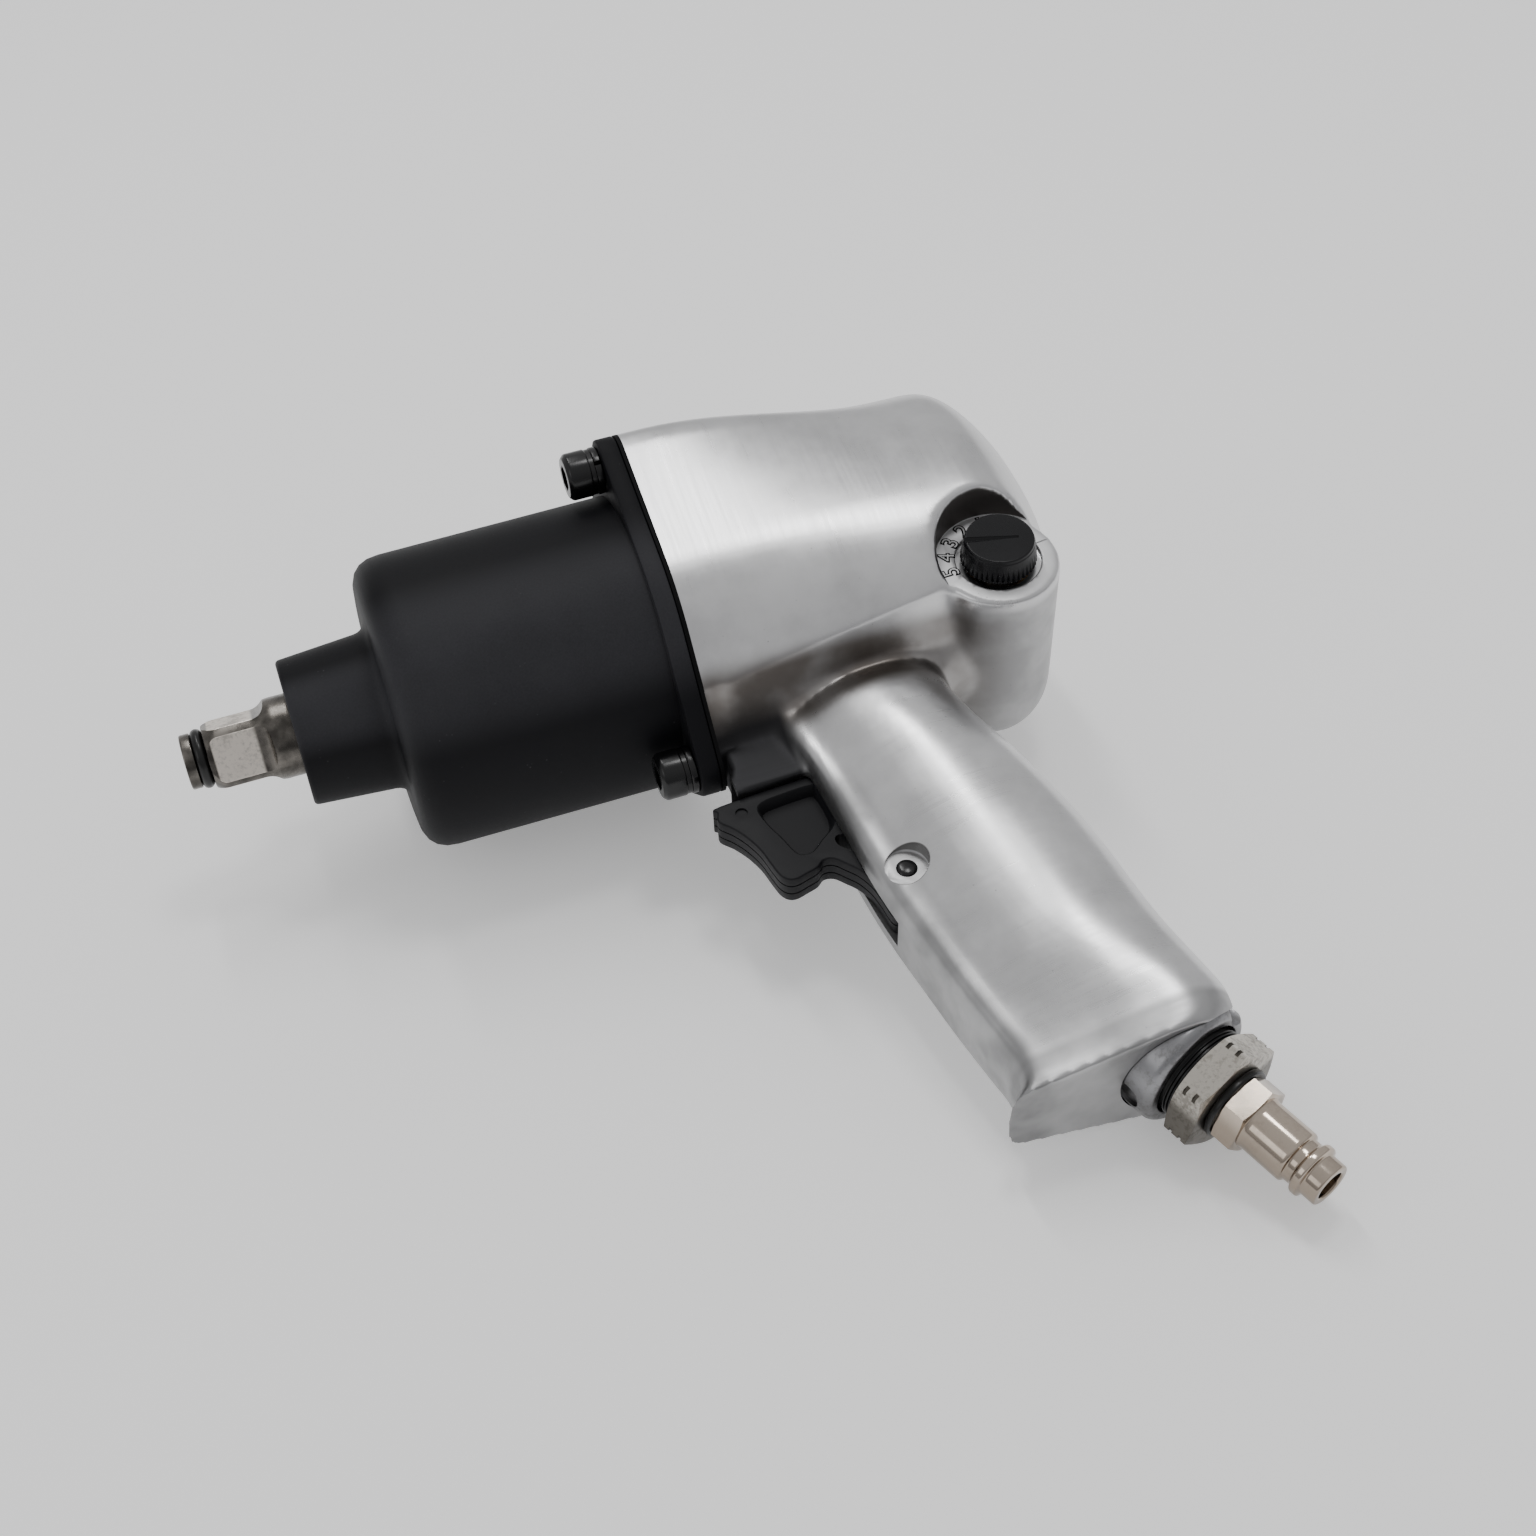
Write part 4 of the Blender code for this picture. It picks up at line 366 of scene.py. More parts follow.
def aluminium_finish(name, tint, sizes):
    """Polished casting: lines round the barrel and the grip, clouds and stains, and painted shade in the hollow.

    The hood over the trigger, the walls of the dial and of the pin's seat are darkened as painted shade. The
    boss, the grip's front and its end are rougher than the sides, and darkened as painted shade.
    """
    finish = Finish(name, metallic=1.0)
    x, y, z = finish.axes(TOOL)
    on_grip = 1 - z.between(-52, -34)
    round_barrel = finish.noise(1.0, 4, finish.mapped((1300, 40, 40), TOOL), 0.65)
    round_grip = finish.noise(1.0, 4, finish.mapped((40, 40, 1300), TOOL), 0.65)
    lines = round_barrel + (round_grip - round_barrel) * on_grip
    clouds = finish.noise(60, 5, roughness=0.6)
    stains = finish.noise(75, 3).between(0.34, 0.68)
    pits = 1 - finish.specks(330).between(0.03, 0.07)
    # Painted shade in the hollow below the ridge, mottled by the stains
    hollow = z.between(-43, -38) * (1 - z.between(-32, -27))
    hollow = hollow * (1 - abs(y).between(16, 21)) * x.between(-68, -50)
    # Painted shade: the hood over the trigger is darkened nearly to black
    hood = x.between(-17, -13.5) * z.between(-56, -52)
    hood = hood * (1 - z.between(-38, -33))
    behind_front = x * -1 + z * 0.115 - 9.3
    front = (1 - behind_front.between(2.5, 7)) * (1 - z.between(-62, -50))
    end = 1 - z.between(-132.5, -130.5)
    across, along, height = finish.axes(TOOL @ KNOB)
    reach = (across**2 + along**2) ** 0.5
    floor = sizes.dial_floor
    pocket = 1 - reach.between(sizes.dial_radius + 0.05, sizes.dial_radius + 0.3)
    # Painted shade on the wall of the dial pocket
    wall = height.between(floor + 0.1, floor + 0.3) * pocket
    level = abs(height - floor).between(0.3, 0.1) * pocket
    boss = (1 - height.between(floor - 4, floor - 1.5)) * (1 - reach.between(13.2, 15))
    aside, below, out = finish.axes(TOOL @ PIVOT)
    # Painted shade on the wall of the pin's seat
    seat = 1 - ((aside**2 + below**2) ** 0.5).between(4.35, 4.5)
    seat = seat * out.between(9.4, 9.7)
    # Painted shade on the boss, the grip's front and its end, which are also rougher
    dull_and_shaded = 1 - (1 - 0.68 * boss) * (1 - 0.8 * front) * (1 - 0.72 * end)
    tone = finish.blend(clouds.between(0.32, 0.7), shade(tint, 0.86), shade(tint, 1.04))
    # The blends below paint shade into these faces, the hollow, the hood, the pin's seat and the dial's wall
    tone = finish.blend(dull_and_shaded * (0.7 + 0.5 * stains), tone, shade(tint, 0.38))
    tone = finish.blend(hollow * (0.66 + 0.32 * stains), tone, (0.16, 0.143, 0.13))
    tone = finish.blend(pits * stains * 0.5, tone, (0.2, 0.2, 0.2))
    tone = finish.blend(hood * 0.97, tone, (0.022, 0.022, 0.024))
    tone = finish.blend(seat * 0.75, tone, (0.1, 0.095, 0.09))
    finish.feed("Base Color", finish.blend(wall * 0.93, tone, (0.05, 0.042, 0.038)))
    rough = 0.17 + 0.13 * clouds + 0.12 * lines + 0.08 * (hollow + dull_and_shaded) * stains + 0.1 * dull_and_shaded
    finish.feed("Roughness", rough + 0.25 * (wall + level + hood))
    finish.bump(lines * 0.5 + clouds * 0.9 - pits * stains * 0.3, 0.25, 0.06)
    return finish.material


def case_finish(name, tint):
    """Matt black coat with a fine grain and a few pale specks, lighter on the left side as a painted sheen mottled
    like dust.
    """
    finish = Finish(name, metallic=0.0, specular_ior_level=0.13)
    grain = finish.noise(2300, 3, roughness=0.65)
    clouds = finish.noise(55, 4)
    _, left, up = finish.axes(TOOL)
    # Painted sheen: a lighter band on the side facing left and slightly down, mottled like dust
    dust_and_sheen = ((0.86 * left - 0.51 * up) * (left**2 + up**2) ** -0.5).between(0.8, 0.985)
    specks = 1 - finish.specks(620).between(0.05, 0.16)
    scatter = finish.noise(180, 2).between(0.56, 0.7)
    tone = finish.blend(clouds, shade(tint, 0.8), shade(tint, 1.5))
    tone = finish.blend(dust_and_sheen * (0.25 + 0.5 * clouds + 0.4 * grain), tone, (0.045, 0.045, 0.05))
    finish.feed("Base Color", finish.blend(specks * scatter * 0.6, tone, (0.05, 0.05, 0.053)))
    finish.feed("Roughness", 0.42 + 0.14 * clouds + 0.12 * grain)
    finish.bump(grain + specks * scatter * 0.3, 0.3, 0.05)
    return finish.material


def black_finish(name, tint, roughness, grain=1500, strength=0.08, shine=0.3):
    """Black steel, plastic or rubber: a fine grain with faint clouds of wear."""
    finish = Finish(name, metallic=0.0, specular_ior_level=shine)
    fine = finish.noise(grain, 3)
    clouds = finish.noise(120, 3)
    finish.feed("Base Color", finish.blend(clouds, shade(tint, 0.75), shade(tint, 1.5)))
    finish.feed("Roughness", roughness - 0.06 + 0.12 * clouds + 0.08 * fine)
    finish.bump(fine, strength, 0.04)
    return finish.material


NO_NICKS = 1000.0  # a radius past the whole tool


def metal_mottle(finish, low, high):
    """Fine spots, wider patches, and a mask of both."""
    spots = finish.noise(1100, 4, roughness=0.7)
    patches = finish.noise(240, 3)
    return spots, patches, (spots * 0.6 + patches * 0.4).between(low, high)


def steel_finish(name, tint, roughness, mottle, stains, under, nicked=NO_NICKS):
    """Plated or cast metal: a mottle of darker stains, and painted shade on the right side and in the nicks."""
    finish = Finish(name, metallic=1.0)
    side = finish.axes(TOOL)[1]
    # Painted shade: darker towards the right side, which lies downwards
    painted_shade = under * (1 - side.between(1.5, 5.5))
    across, along, height = finish.axes(TOOL @ INLET)
    # Painted shade in the nicks at the hexagon's corners
    nicks = abs(abs(height) - NICK_HEIGHT).between(0.42, 0.35)
    nicks = nicks * ((across**2 + along**2) ** 0.5).between(nicked - 0.1, nicked)
    painted_shade = painted_shade.math("MAXIMUM", painted_shade, nicks)
    spots, patches, mask = metal_mottle(finish, 0.46, 0.62)
    tone = finish.blend(mask * mottle, tint, stains)
    finish.feed("Base Color", finish.blend(painted_shade, tone, shade(stains, 0.5)))
    finish.feed("Roughness", roughness + 0.2 * mask * mottle + 0.06 * patches)
    finish.bump(spots + patches, 0.12 * mottle + 0.02, 0.05)
    return finish.material


def anvil_finish(name, tint, sizes):
    """Hardened steel, brown from heat, with its four flats ground bright."""
    finish = Finish(name, metallic=1.0)
    across, along, ahead = finish.axes(TOOL @ DRIVE @ turned(SQUARE_TURN))
    apart = across.math("MAXIMUM", abs(across), abs(along))
    start, end = square_run(sizes)
    flat = abs(apart - sizes.square / 2).between(0.1, 0.04)
    flat = flat * ahead.between(start - 0.4, start + 0.4)
    flat = flat * (1 - ahead.between(end - 1.4, end - 1))
    spots, patches, mottle = metal_mottle(finish, 0.44, 0.64)
    rings = finish.noise(1.0, 3, finish.mapped((2400, 60, 60), TOOL), 0.6)
    brown = finish.blend(patches.between(0.3, 0.7), shade(tint, 0.12), shade(tint, 0.34))
    ground = finish.blend(mottle * 0.75, shade(tint, 1.45), shade(tint, 0.7))
    finish.feed("Base Color", finish.blend(flat, brown, ground))
    finish.feed("Roughness", 0.22 + 0.14 * flat + 0.1 * mottle + 0.06 * rings)
    finish.bump(spots * flat + patches * 0.3 + rings * 0.4, 0.16, 0.05)
    return finish.material


def hidden_finish(name, tint, roughness, metallic):
    """Inner pieces: machined or moulded, with a light grain."""
    finish = Finish(name, metallic=metallic)
    grain = finish.noise(800, 3)
    finish.feed("Base Color", finish.blend(grain, shade(tint, 0.8), shade(tint, 1.15)))
    finish.feed("Roughness", roughness + 0.15 * grain)
    finish.bump(grain, 0.1, 0.05)
    return finish.material


FINISHES = {}


def make_finishes(tints, sizes):
    corner = sizes.hexagon / math.sqrt(3)
    FINISHES.update(
        polished_aluminium=aluminium_finish("polished_casting", tints.aluminium, sizes),
        black_case=case_finish("case_coat", tints.case_paint),
        black_gasket=black_finish("gasket_fibre", (0.003, 0.003, 0.0034), 0.6, 2500, 0.25, 0.12),
        black_steel=black_finish("black_screw", tints.black_steel, 0.2, 700, 0.06, 0.45),
        black_plastic=black_finish("trigger_plastic", tints.plastic, 0.42, 2600, 0.12, 0.2),
        gloss_black=black_finish("knob_plastic", tints.gloss, 0.24, 1500, 0.03, 0.3),
        black_rubber=black_finish("seal_rubber", (0.004, 0.004, 0.004), 0.26, 1200, 0.1, 0.4),
        bright_steel=anvil_finish("anvil_steel", tints.steel, sizes),
        nickel=steel_finish("nipple_nickel", tints.nickel, 0.1, 0.2, (0.34, 0.27, 0.21), 0.6),
        cast_collar=steel_finish("collar_casting", (0.3, 0.3, 0.31), 0.32, 0.5, (0.17, 0.165, 0.16), 0.4),
        dull_nickel=steel_finish(
            "bushing_nickel", tints.dull_nickel, 0.26, 0.6, (0.15, 0.135, 0.115), 0.85, corner - 0.45
        ),
        spring_steel=hidden_finish("spring_steel", (0.42, 0.4, 0.38), 0.3, 1.0),
        bronze=hidden_finish("bushing_bronze", (0.5, 0.35, 0.19), 0.34, 1.0),
        cast_iron=hidden_finish("machined_iron", (0.3, 0.3, 0.31), 0.42, 1.0),
        vane_resin=hidden_finish("vane_resin", (0.3, 0.19, 0.1), 0.55, 0.0),
    )


def deselect():
    if bpy.context.mode != "OBJECT":
        bpy.ops.object.mode_set(mode="OBJECT")
    bpy.ops.object.select_all(action="DESELECT")


def pick(obj, mode="OBJECT"):
    """Makes an object the only selected one, in object or edit mode."""
    deselect()
    obj.select_set(True)
    bpy.context.view_layer.objects.active = obj
    bpy.ops.object.mode_set(mode=mode)
    if mode == "EDIT":
        bpy.ops.mesh.select_all(action="SELECT")
    return obj


def close_up(obj):
    """Merges doubles and turns all faces outwards."""
    pick(obj, "EDIT")
    bpy.ops.mesh.remove_doubles(threshold=1e-6)
    bpy.ops.mesh.normals_make_consistent(inside=False)
    bpy.ops.object.mode_set(mode="OBJECT")
    return obj


def put_points(obj, points):
    metres = np.asarray(points, float) * MM
    obj.data.vertices.foreach_set("co", metres.astype(np.float32).ravel())
    obj.data.update()


def plate(outline, low, high, matrix):
    """A flat outline of (x, y) points, raised from low to high."""
    deselect()
    bpy.ops.mesh.primitive_circle_add(vertices=len(outline), radius=MM, fill_type="NGON")
    obj = bpy.context.object
    put_points(obj, [(x, y, low) for x, y in outline])
    pick(obj, "EDIT")
    bpy.ops.mesh.extrude_region_move(TRANSFORM_OT_translate={"value": (0, 0, (high - low) * MM)})
    close_up(obj)
    obj.data.transform(matrix)
    return obj


def lathe(profile, matrix, steps=96, ring=False):
    """A profile of (radius, height) points spun about the local Z axis. A ring's profile is closed."""
    points = rounded([[value * MM for value in point] for point in profile], ring)
    if ring:
        points = points + points[:1]
    deselect()
    bpy.ops.mesh.primitive_plane_add(size=MM, enter_editmode=True)
    obj = bpy.context.object
    bpy.ops.mesh.merge(type="CENTER")
    bpy.ops.transform.translate(value=(points[0][0], 0, points[0][1]))
    for (near, low), (far, high) in zip(points, points[1:]):
        move = (far - near, 0, high - low)
        bpy.ops.mesh.extrude_vertices_move(TRANSFORM_OT_translate={"value": move})
    bpy.ops.mesh.select_all(action="SELECT")
    bpy.ops.mesh.spin(steps=steps, angle=2 * math.pi, center=(0, 0, 0), axis=(0, 0, 1))
    close_up(obj)
    obj.data.transform(matrix)
    return obj


def rounded(profile, ring=False, steps=5):
    """A profile in which a point's third number, if any, is how far back from it the corner is rounded."""
    count = len(profile)
    result = []
    for i, point in enumerate(profile):
        if len(point) == 2:
            result.append(tuple(point))
            continue
        corner = Vector(point[:2])
        before = Vector(profile[i - 1][:2]) - corner
        after = Vector(profile[(i + 1) % count][:2]) - corner
        start = corner + before.normalized() * min(point[2], before.length * 0.49)
        end = corner + after.normalized() * min(point[2], after.length * 0.49)
        for t in np.linspace(0, 1, steps + 1):
            at = start * (1 - t) ** 2 + corner * 2 * t * (1 - t) + end * t**2
            result.append((at.x, at.y))
    return result


def drum(radius, low, high, matrix, vertices=64):
    """A plain cylinder for cutting, along the local Z axis."""
    deselect()
    bpy.ops.mesh.primitive_cylinder_add(
        vertices=vertices,
        radius=radius * MM,
        depth=(high - low) * MM,
        location=(0, 0, (low + high) / 2 * MM),
    )
    obj = bpy.context.object
    obj.data.transform(matrix @ obj.matrix_basis)
    obj.matrix_basis = Matrix()
    return obj


def block(corner, opposite, matrix):
    """A plain block for cutting or joining, between two opposite corners."""
    deselect()
    bpy.ops.mesh.primitive_cube_add(size=1)
    obj = bpy.context.object
    middle = [(a + b) / 2 for a, b in zip(corner, opposite)]
    size = [abs(b - a) * MM for a, b in zip(corner, opposite)]
    obj.data.transform(matrix @ shifted(*middle) @ Matrix.Diagonal((*size, 1)))
    return obj


def skin(rings, matrix=Matrix()):
    """A closed skin through rings of equal point counts: a grid bent into a tube, with its ends filled."""
    rings = [list(points) + [points[0]] for points in rings]
    deselect()
    bpy.ops.mesh.primitive_grid_add(
        x_subdivisions=len(rings[0]) - 1, y_subdivisions=len(rings) - 1, size=MM
    )
    obj = bpy.context.object
    put_points(obj, rings)
    pick(obj, "EDIT")
    bpy.ops.mesh.remove_doubles(threshold=1e-6)
    bpy.ops.mesh.select_all(action="SELECT")
    bpy.ops.mesh.fill_holes(sides=0)
    close_up(obj)
    obj.data.transform(matrix)
    return obj


def apply(obj, kind, **settings):
    """Adds a modifier and applies it."""
    pick(obj)
    bpy.ops.object.modifier_add(type=kind)
    modifier = obj.modifiers[-1]
    for key, value in settings.items():
        setattr(modifier, key, value)
    bpy.ops.object.modifier_apply(modifier=modifier.name)
    return obj


def combine(obj, other, operation="DIFFERENCE"):
    """Cuts another shape away, or joins it, and removes it."""
    apply(obj, "BOOLEAN", operation=operation, solver="EXACT", object=other)
    bpy.data.objects.remove(other, do_unlink=True)
    return obj


def cut(obj, *cutters):
    for cutter in cutters:
        combine(obj, cutter)


def soften(obj, width, segments=3, angle=35.0):
    """Rounds the sharp edges."""
    apply(
        obj,
        "BEVEL",
        width=width * MM,
        segments=segments,
        limit_method="ANGLE",
        angle_limit=math.radians(angle),
        use_clamp_overlap=True,
    )
    return obj


def settle(obj, name, body, slot, nodes, angle=35.0, finish=None):
    """Lays a finished piece in the world, gives it its finish, shades it, hangs it on its body and hides the CAD
    pieces it replaces.
    """
    obj.data.transform(TOOL)
    obj.name = name
    obj.data.name = name
    obj.data.materials.clear()
    obj.data.materials.append(FINISHES[finish or slot])
    pick(obj)
    bpy.ops.object.shade_smooth_by_angle(angle=math.radians(angle))
    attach(obj, body)
    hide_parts(*nodes)
    if not obj.data.polygons:
        raise RuntimeError(f"{name} has no faces")
    return obj


def through(values, at):
    """A smooth curve through evenly numbered values, read at positions between them."""
    values = np.asarray(values, float)
    ends = [2 * values[0] - values[1]], [2 * values[-1] - values[-2]]
    padded = np.concatenate([ends[0], values, ends[1]])
    at = np.asarray(at, float)
    start = np.minimum(at.astype(int), len(values) - 2)
    t = (at - start).reshape([-1] + [1] * (values.ndim - 1))
    before, first, second, after = (padded[start + i] for i in range(4))
    slope = (second - before) / 2
    next_slope = (after - first) / 2
    gap = second - first
    square = 3 * gap - 2 * slope - next_slope
    cube = slope + next_slope - 2 * gap
    return first + slope * t + square * t**2 + cube * t**3


def loop_through(points, share):
    """A smooth closed line through points, with share points on each stretch."""
    points = list(points)
    run = points[-2:] + points + points[:2]
    at = np.arange(2, len(points) + 2, 1 / share)
    return through(run, at)


def swollen(outline, margin):
    """A closed outline moved outwards by a margin."""
    points = np.asarray(outline)
    along = np.roll(points, -1, 0) - np.roll(points, 1, 0)
    outward = np.stack([along[:, 1], -along[:, 0]], 1) / np.linalg.norm(along, axis=1)[:, None]
    area = np.sum(points[:, 0] * np.roll(points[:, 1], -1) - points[:, 1] * np.roll(points[:, 0], -1))
    return points + outward * margin * np.sign(area)


def polar(radius, angle):
    """A point round the drive axis, at an angle in degrees from the top towards the left."""
    turn = math.radians(angle)
    return (-radius * math.cos(turn), radius * math.sin(turn))


def flange_radius(sizes, angle):
    """Outline of the flange: a circle drawn tangent to an ear round each screw."""
    offset = min(abs((angle - ear + 180) % 360 - 180) for ear in EAR_ANGLES)
    offset = math.radians(offset)
    tangent = math.acos((sizes.body_radius - sizes.ear_radius) / sizes.ear_circle)
    if offset >= tangent:
        return sizes.body_radius
    across = sizes.ear_radius * math.sin(tangent)
    ear_end = math.atan2(across, sizes.ear_circle + sizes.ear_radius * math.cos(tangent))
    if offset >= ear_end:
        return sizes.body_radius / math.cos(tangent - offset)
    across = sizes.ear_circle * math.sin(offset)
    return sizes.ear_circle * math.cos(offset) + math.sqrt(sizes.ear_radius**2 - across**2)


def ear_frames(sizes):
    """The frames of the case screws, each with its angle."""
    return [(DRIVE @ shifted(*polar(sizes.ear_circle, angle), 0), angle) for angle in EAR_ANGLES]


def screw_holes(sizes, low, high):
    return [drum(SCREW_HOLE, low, high, ear, 32) for ear, _ in ear_frames(sizes)]


def hexagon(flats, turn=0.0):
    """Corners of a hexagon, from its width across the flats."""
    corner = flats / math.sqrt(3)
    angles = np.radians([turn + 60 * i for i in range(6)])
    return [(corner * math.cos(angle), corner * math.sin(angle)) for angle in angles]


def flange_outline(sizes, points=288):
    angles = [360 * i / points for i in range(points)]
    return [polar(flange_radius(sizes, angle), angle) for angle in angles]


def body_section(sizes, back):
    """Points (y, z) of the casting round the motor, at a distance behind the gasket.

    The eared outline fades into a rounded square, and a ridge runs along each lower flank.
    """
    fade = min(max((back - EAR_FADE_START) / EAR_FADE_LENGTH, 0), 1)
    ears = 0.5 + 0.5 * math.cos(math.pi * fade)
    ridge = RIDGE_ANGLE - RIDGE_TURN * back
    upper = np.linspace(0, ridge, 120)
    lower = ridge + (180 - ridge) * np.linspace(0, 1, 31)[1:] ** 1.4
    half = []
    for angle in np.concatenate([upper, lower]):
        turn = math.radians(angle)
        square = (abs(math.sin(turn)) / (sizes.body_radius + REAR_SPREAD)) ** REAR_SQUARENESS
        square += (abs(math.cos(turn)) / (sizes.body_radius + REAR_RISE)) ** REAR_SQUARENESS
        radius = (1 - ears) * square ** (-1 / REAR_SQUARENESS) + ears * flange_radius(sizes, angle)
        lift = min(max(1 - (ridge - angle) / RIDGE_LIFT_ANGLE, 0), 1)
        lift *= min(max(back, 0) / RIDGE_RUN_IN, 1)
        radius += RIDGE_LIFT * lift * lift
        tuck = min(max((angle - ridge) / RIDGE_TUCK_ANGLE, 0), 1)
        half.append((radius * math.sin(turn) * (1 - RIDGE_TUCK * tuck), radius * math.cos(turn)))
    return half + [(-y, z) for y, z in half[-2:0:-1]]


def body_rings(sizes):
    rear = through(REAR_ROUNDING, np.linspace(0, len(REAR_ROUNDING) - 1, 36))
    stations = [(back, 1.0) for back in np.linspace(-3, 64, 54)]
    stations += [(CASTING_LENGTH - short, scale) for short, scale in rear]
    rings = []
    for back, scale in stations:
        section = body_section(sizes, back)
        rings.append([(-back, y * scale, z * scale) for y, z in section])
    return rings


def section_shares(section):
    last = len(section) - 1
    half = np.concatenate([section[:1], through(section, np.arange(1, last + 1e-9, 1 / 14))])
    return np.concatenate([half, half[-2:0:-1] * (1, -1)])


def grip_rings():
    edge = len(GRIP_STATIONS) - 3
    rows = through(GRIP_STATIONS[: edge + 1], np.linspace(0, edge, 110)).tolist()
    rows += through(GRIP_STATIONS[edge:], np.linspace(0, 2, 16))[1:].tolist()
    grip = section_shares(GRIP_SECTION)
    end = section_shares(END_SECTION)
    rings = []
    for drop, front, rear, half in rows:
        change = min(max((drop - END_START) / END_RUN, 0), 1)
        shares = grip + (end - grip) * change * change * (3 - 2 * change)
        depth = rear - front
        rings.append([(-(front + depth * x), half * y, -drop) for x, y in shares])
    return rings


def side_points(points):
    """Points behind the gasket and below the drive axis, in the pivot's frame."""
    return [(PIVOT_BACK - back, drop - PIVOT_DROP) for back, drop in points]


def smooth_where(obj, share, iterations):
    """Smooths a skin by a share worked out from the points' places in millimetres."""
    points = np.empty(len(obj.data.vertices) * 3, np.float32)
    obj.data.vertices.foreach_get("co", points)
    near = share(*points.reshape(-1, 3).T / MM)
    group = obj.vertex_groups.new(name="soft")
    for step in range(1, 11):
        members = np.nonzero((near > (step - 1) / 10) & (near <= step / 10))[0].tolist()
        if members:
            group.add(members, step / 10, "REPLACE")
    apply(obj, "SMOOTH", factor=0.5, iterations=iterations, vertex_group="soft")
    obj.vertex_groups.clear()


def in_hollow(x, y, z):
    """The hollow between barrel, grip and boss, below the ridge."""
    near = np.clip(1 - np.abs(z + 36) / 11, 0, 1)
    return near * np.clip((20 - np.abs(y)) / 4, 0, 1) * np.clip((-4 - x) / 6, 0, 1)


def on_dial_rim(x, y, z):
    """The rim of the dial pocket."""
    radius = np.hypot(x + KNOB_BACK, z + KNOB_DROP)
    return np.clip(2.2 - np.abs(radius - 13) / 1.6, 0, 1) * np.clip((y - 20.5) / 2, 0, 1)


def on_end_edge(x, y, z):
    """The edge round the grip's end."""
    return np.clip(1.6 - np.abs(z + 130) / 2.5, 0, 1)


def beside_boss(x, y, z):
    """Where the ridge along the flank runs into the boss."""
    return np.clip(1.5 - np.sqrt((x + 54) ** 2 + (y - 18.5) ** 2 + (z + 33) ** 2) / 4, 0, 1)


class WRENCH_OT_housing(bpy.types.Operator):
    """Build the polished casting: barrel, grip, regulator boss, dial pocket, trigger slot and bores"""

    bl_idname = "wrench.housing"
    bl_label = "Motor housing"

    def execute(self, context):
        sizes = in_mm(context)
        housing = skin(body_rings(sizes))
        floor = sizes.dial_floor
        dome = floor - BOSS_STRAIGHT
        boss = [(0, floor + 4), (BOSS_RADIUS, floor + 4), (BOSS_RADIUS, dome)]
        for t in np.linspace(0, math.pi / 2, 12)[1:-1]:
            boss.append((BOSS_RADIUS * math.cos(t), dome - BOSS_DOME * math.sin(t)))
        boss.append((0, dome - BOSS_DOME))
        combine(housing, skin(grip_rings()), "UNION")
        combine(housing, lathe(boss, KNOB), "UNION")
        hood = plate(side_points(HOOD_OUTLINE), -HOOD_HALF_WIDTH, HOOD_HALF_WIDTH, PIVOT)
        combine(housing, hood, "UNION")
        combine(housing, drum(sizes.dial_radius, floor, 2 * floor, KNOB, 96))
        apply(housing, "REMESH", mode="VOXEL", voxel_size=sizes.grain * MM)
        for place, rounds in ((in_hollow, 45), (beside_boss, 40), (on_dial_rim, 14), (on_end_edge, 12)):
            smooth_where(housing, place, rounds)
        apply(housing, "SMOOTH", factor=0.5, iterations=5)
        pick(housing, "EDIT")
        bpy.ops.mesh.bisect(plane_co=(0, 0, 0), plane_no=(1, 0, 0), use_fill=True, clear_outer=True)
        bpy.ops.object.mode_set(mode="OBJECT")
        half = sizes.trigger / 2 + RUN_GAP
        seat = [(0, floor + 1), (9.3, floor + 1), (9.3, floor + 0.05), (8.95, floor - 0.25)]
        seat += [(8.95, floor - 1.2), (0, floor - 1.2)]
        cutters = [
            drum(sizes.dial_radius, floor, 2 * floor, KNOB, 128),
            lathe(seat, KNOB, 96),  # round recess under the knob
            block((8, -0.2, floor - 0.3), (14, 0.2, floor + 3), KNOB @ turned(-172)),  # tick
            drum(PIN_SEAT, PIN_SEAT_FLOOR, 24, PIVOT),
            drum(MOTOR_BORE, -53, 4, DRIVE, 96),
            drum(7.2, floor - 42, floor + 4, KNOB, 48),  # valve bore
            block((-28.7, -half, -92), (4, half, -47.4), Matrix()),  # trigger slot
            drum(6.2, -54, -24.7, THROTTLE, 48),  # throttle bore
            drum(PIN_HOLE, -9.3, 13, PIVOT, 32),
            drum(COLLAR_RADIUS + RUN_GAP, -13.6, 6.2, INLET, 96),
            drum(8.8, -29.1, 0, INLET, 64),  # hole for the inlet bushing
        ]
        cut(housing, *cutters, *screw_holes(sizes, -22, 4))
        settle(housing, "housing_casting", "housing", "polished_aluminium", ["motor_housing"], 55)
        return {"FINISHED"}


def dial_numbers(sizes, swell, low, high):
    """The power scale's numbers as one mesh, between two heights on the dial and swollen by a margin."""
    numbers = []
    for word, angle in DIAL_NUMBERS:
        deselect()
        bpy.ops.object.text_add()
        text = bpy.context.object
        text.data.body = word
        text.data.size = DIGIT_SIZE * MM
        text.data.align_x = "CENTER"
        text.data.align_y = "CENTER"
        text.data.offset = swell * MM
        text.data.extrude = (high - low) / 2 * MM
        pick(text)
        bpy.ops.object.convert(target="MESH")
        number = close_up(bpy.context.object)
        middle = sizes.dial_floor + (low + high) / 2
        number.data.transform(KNOB @ turned(-angle) @ shifted(DIGIT_CIRCLE, 0, middle) @ turned(-90))
        numbers.append(number)
    pick(numbers[0])
    for number in numbers:
        number.select_set(True)
    bpy.ops.object.join()
    return bpy.context.object


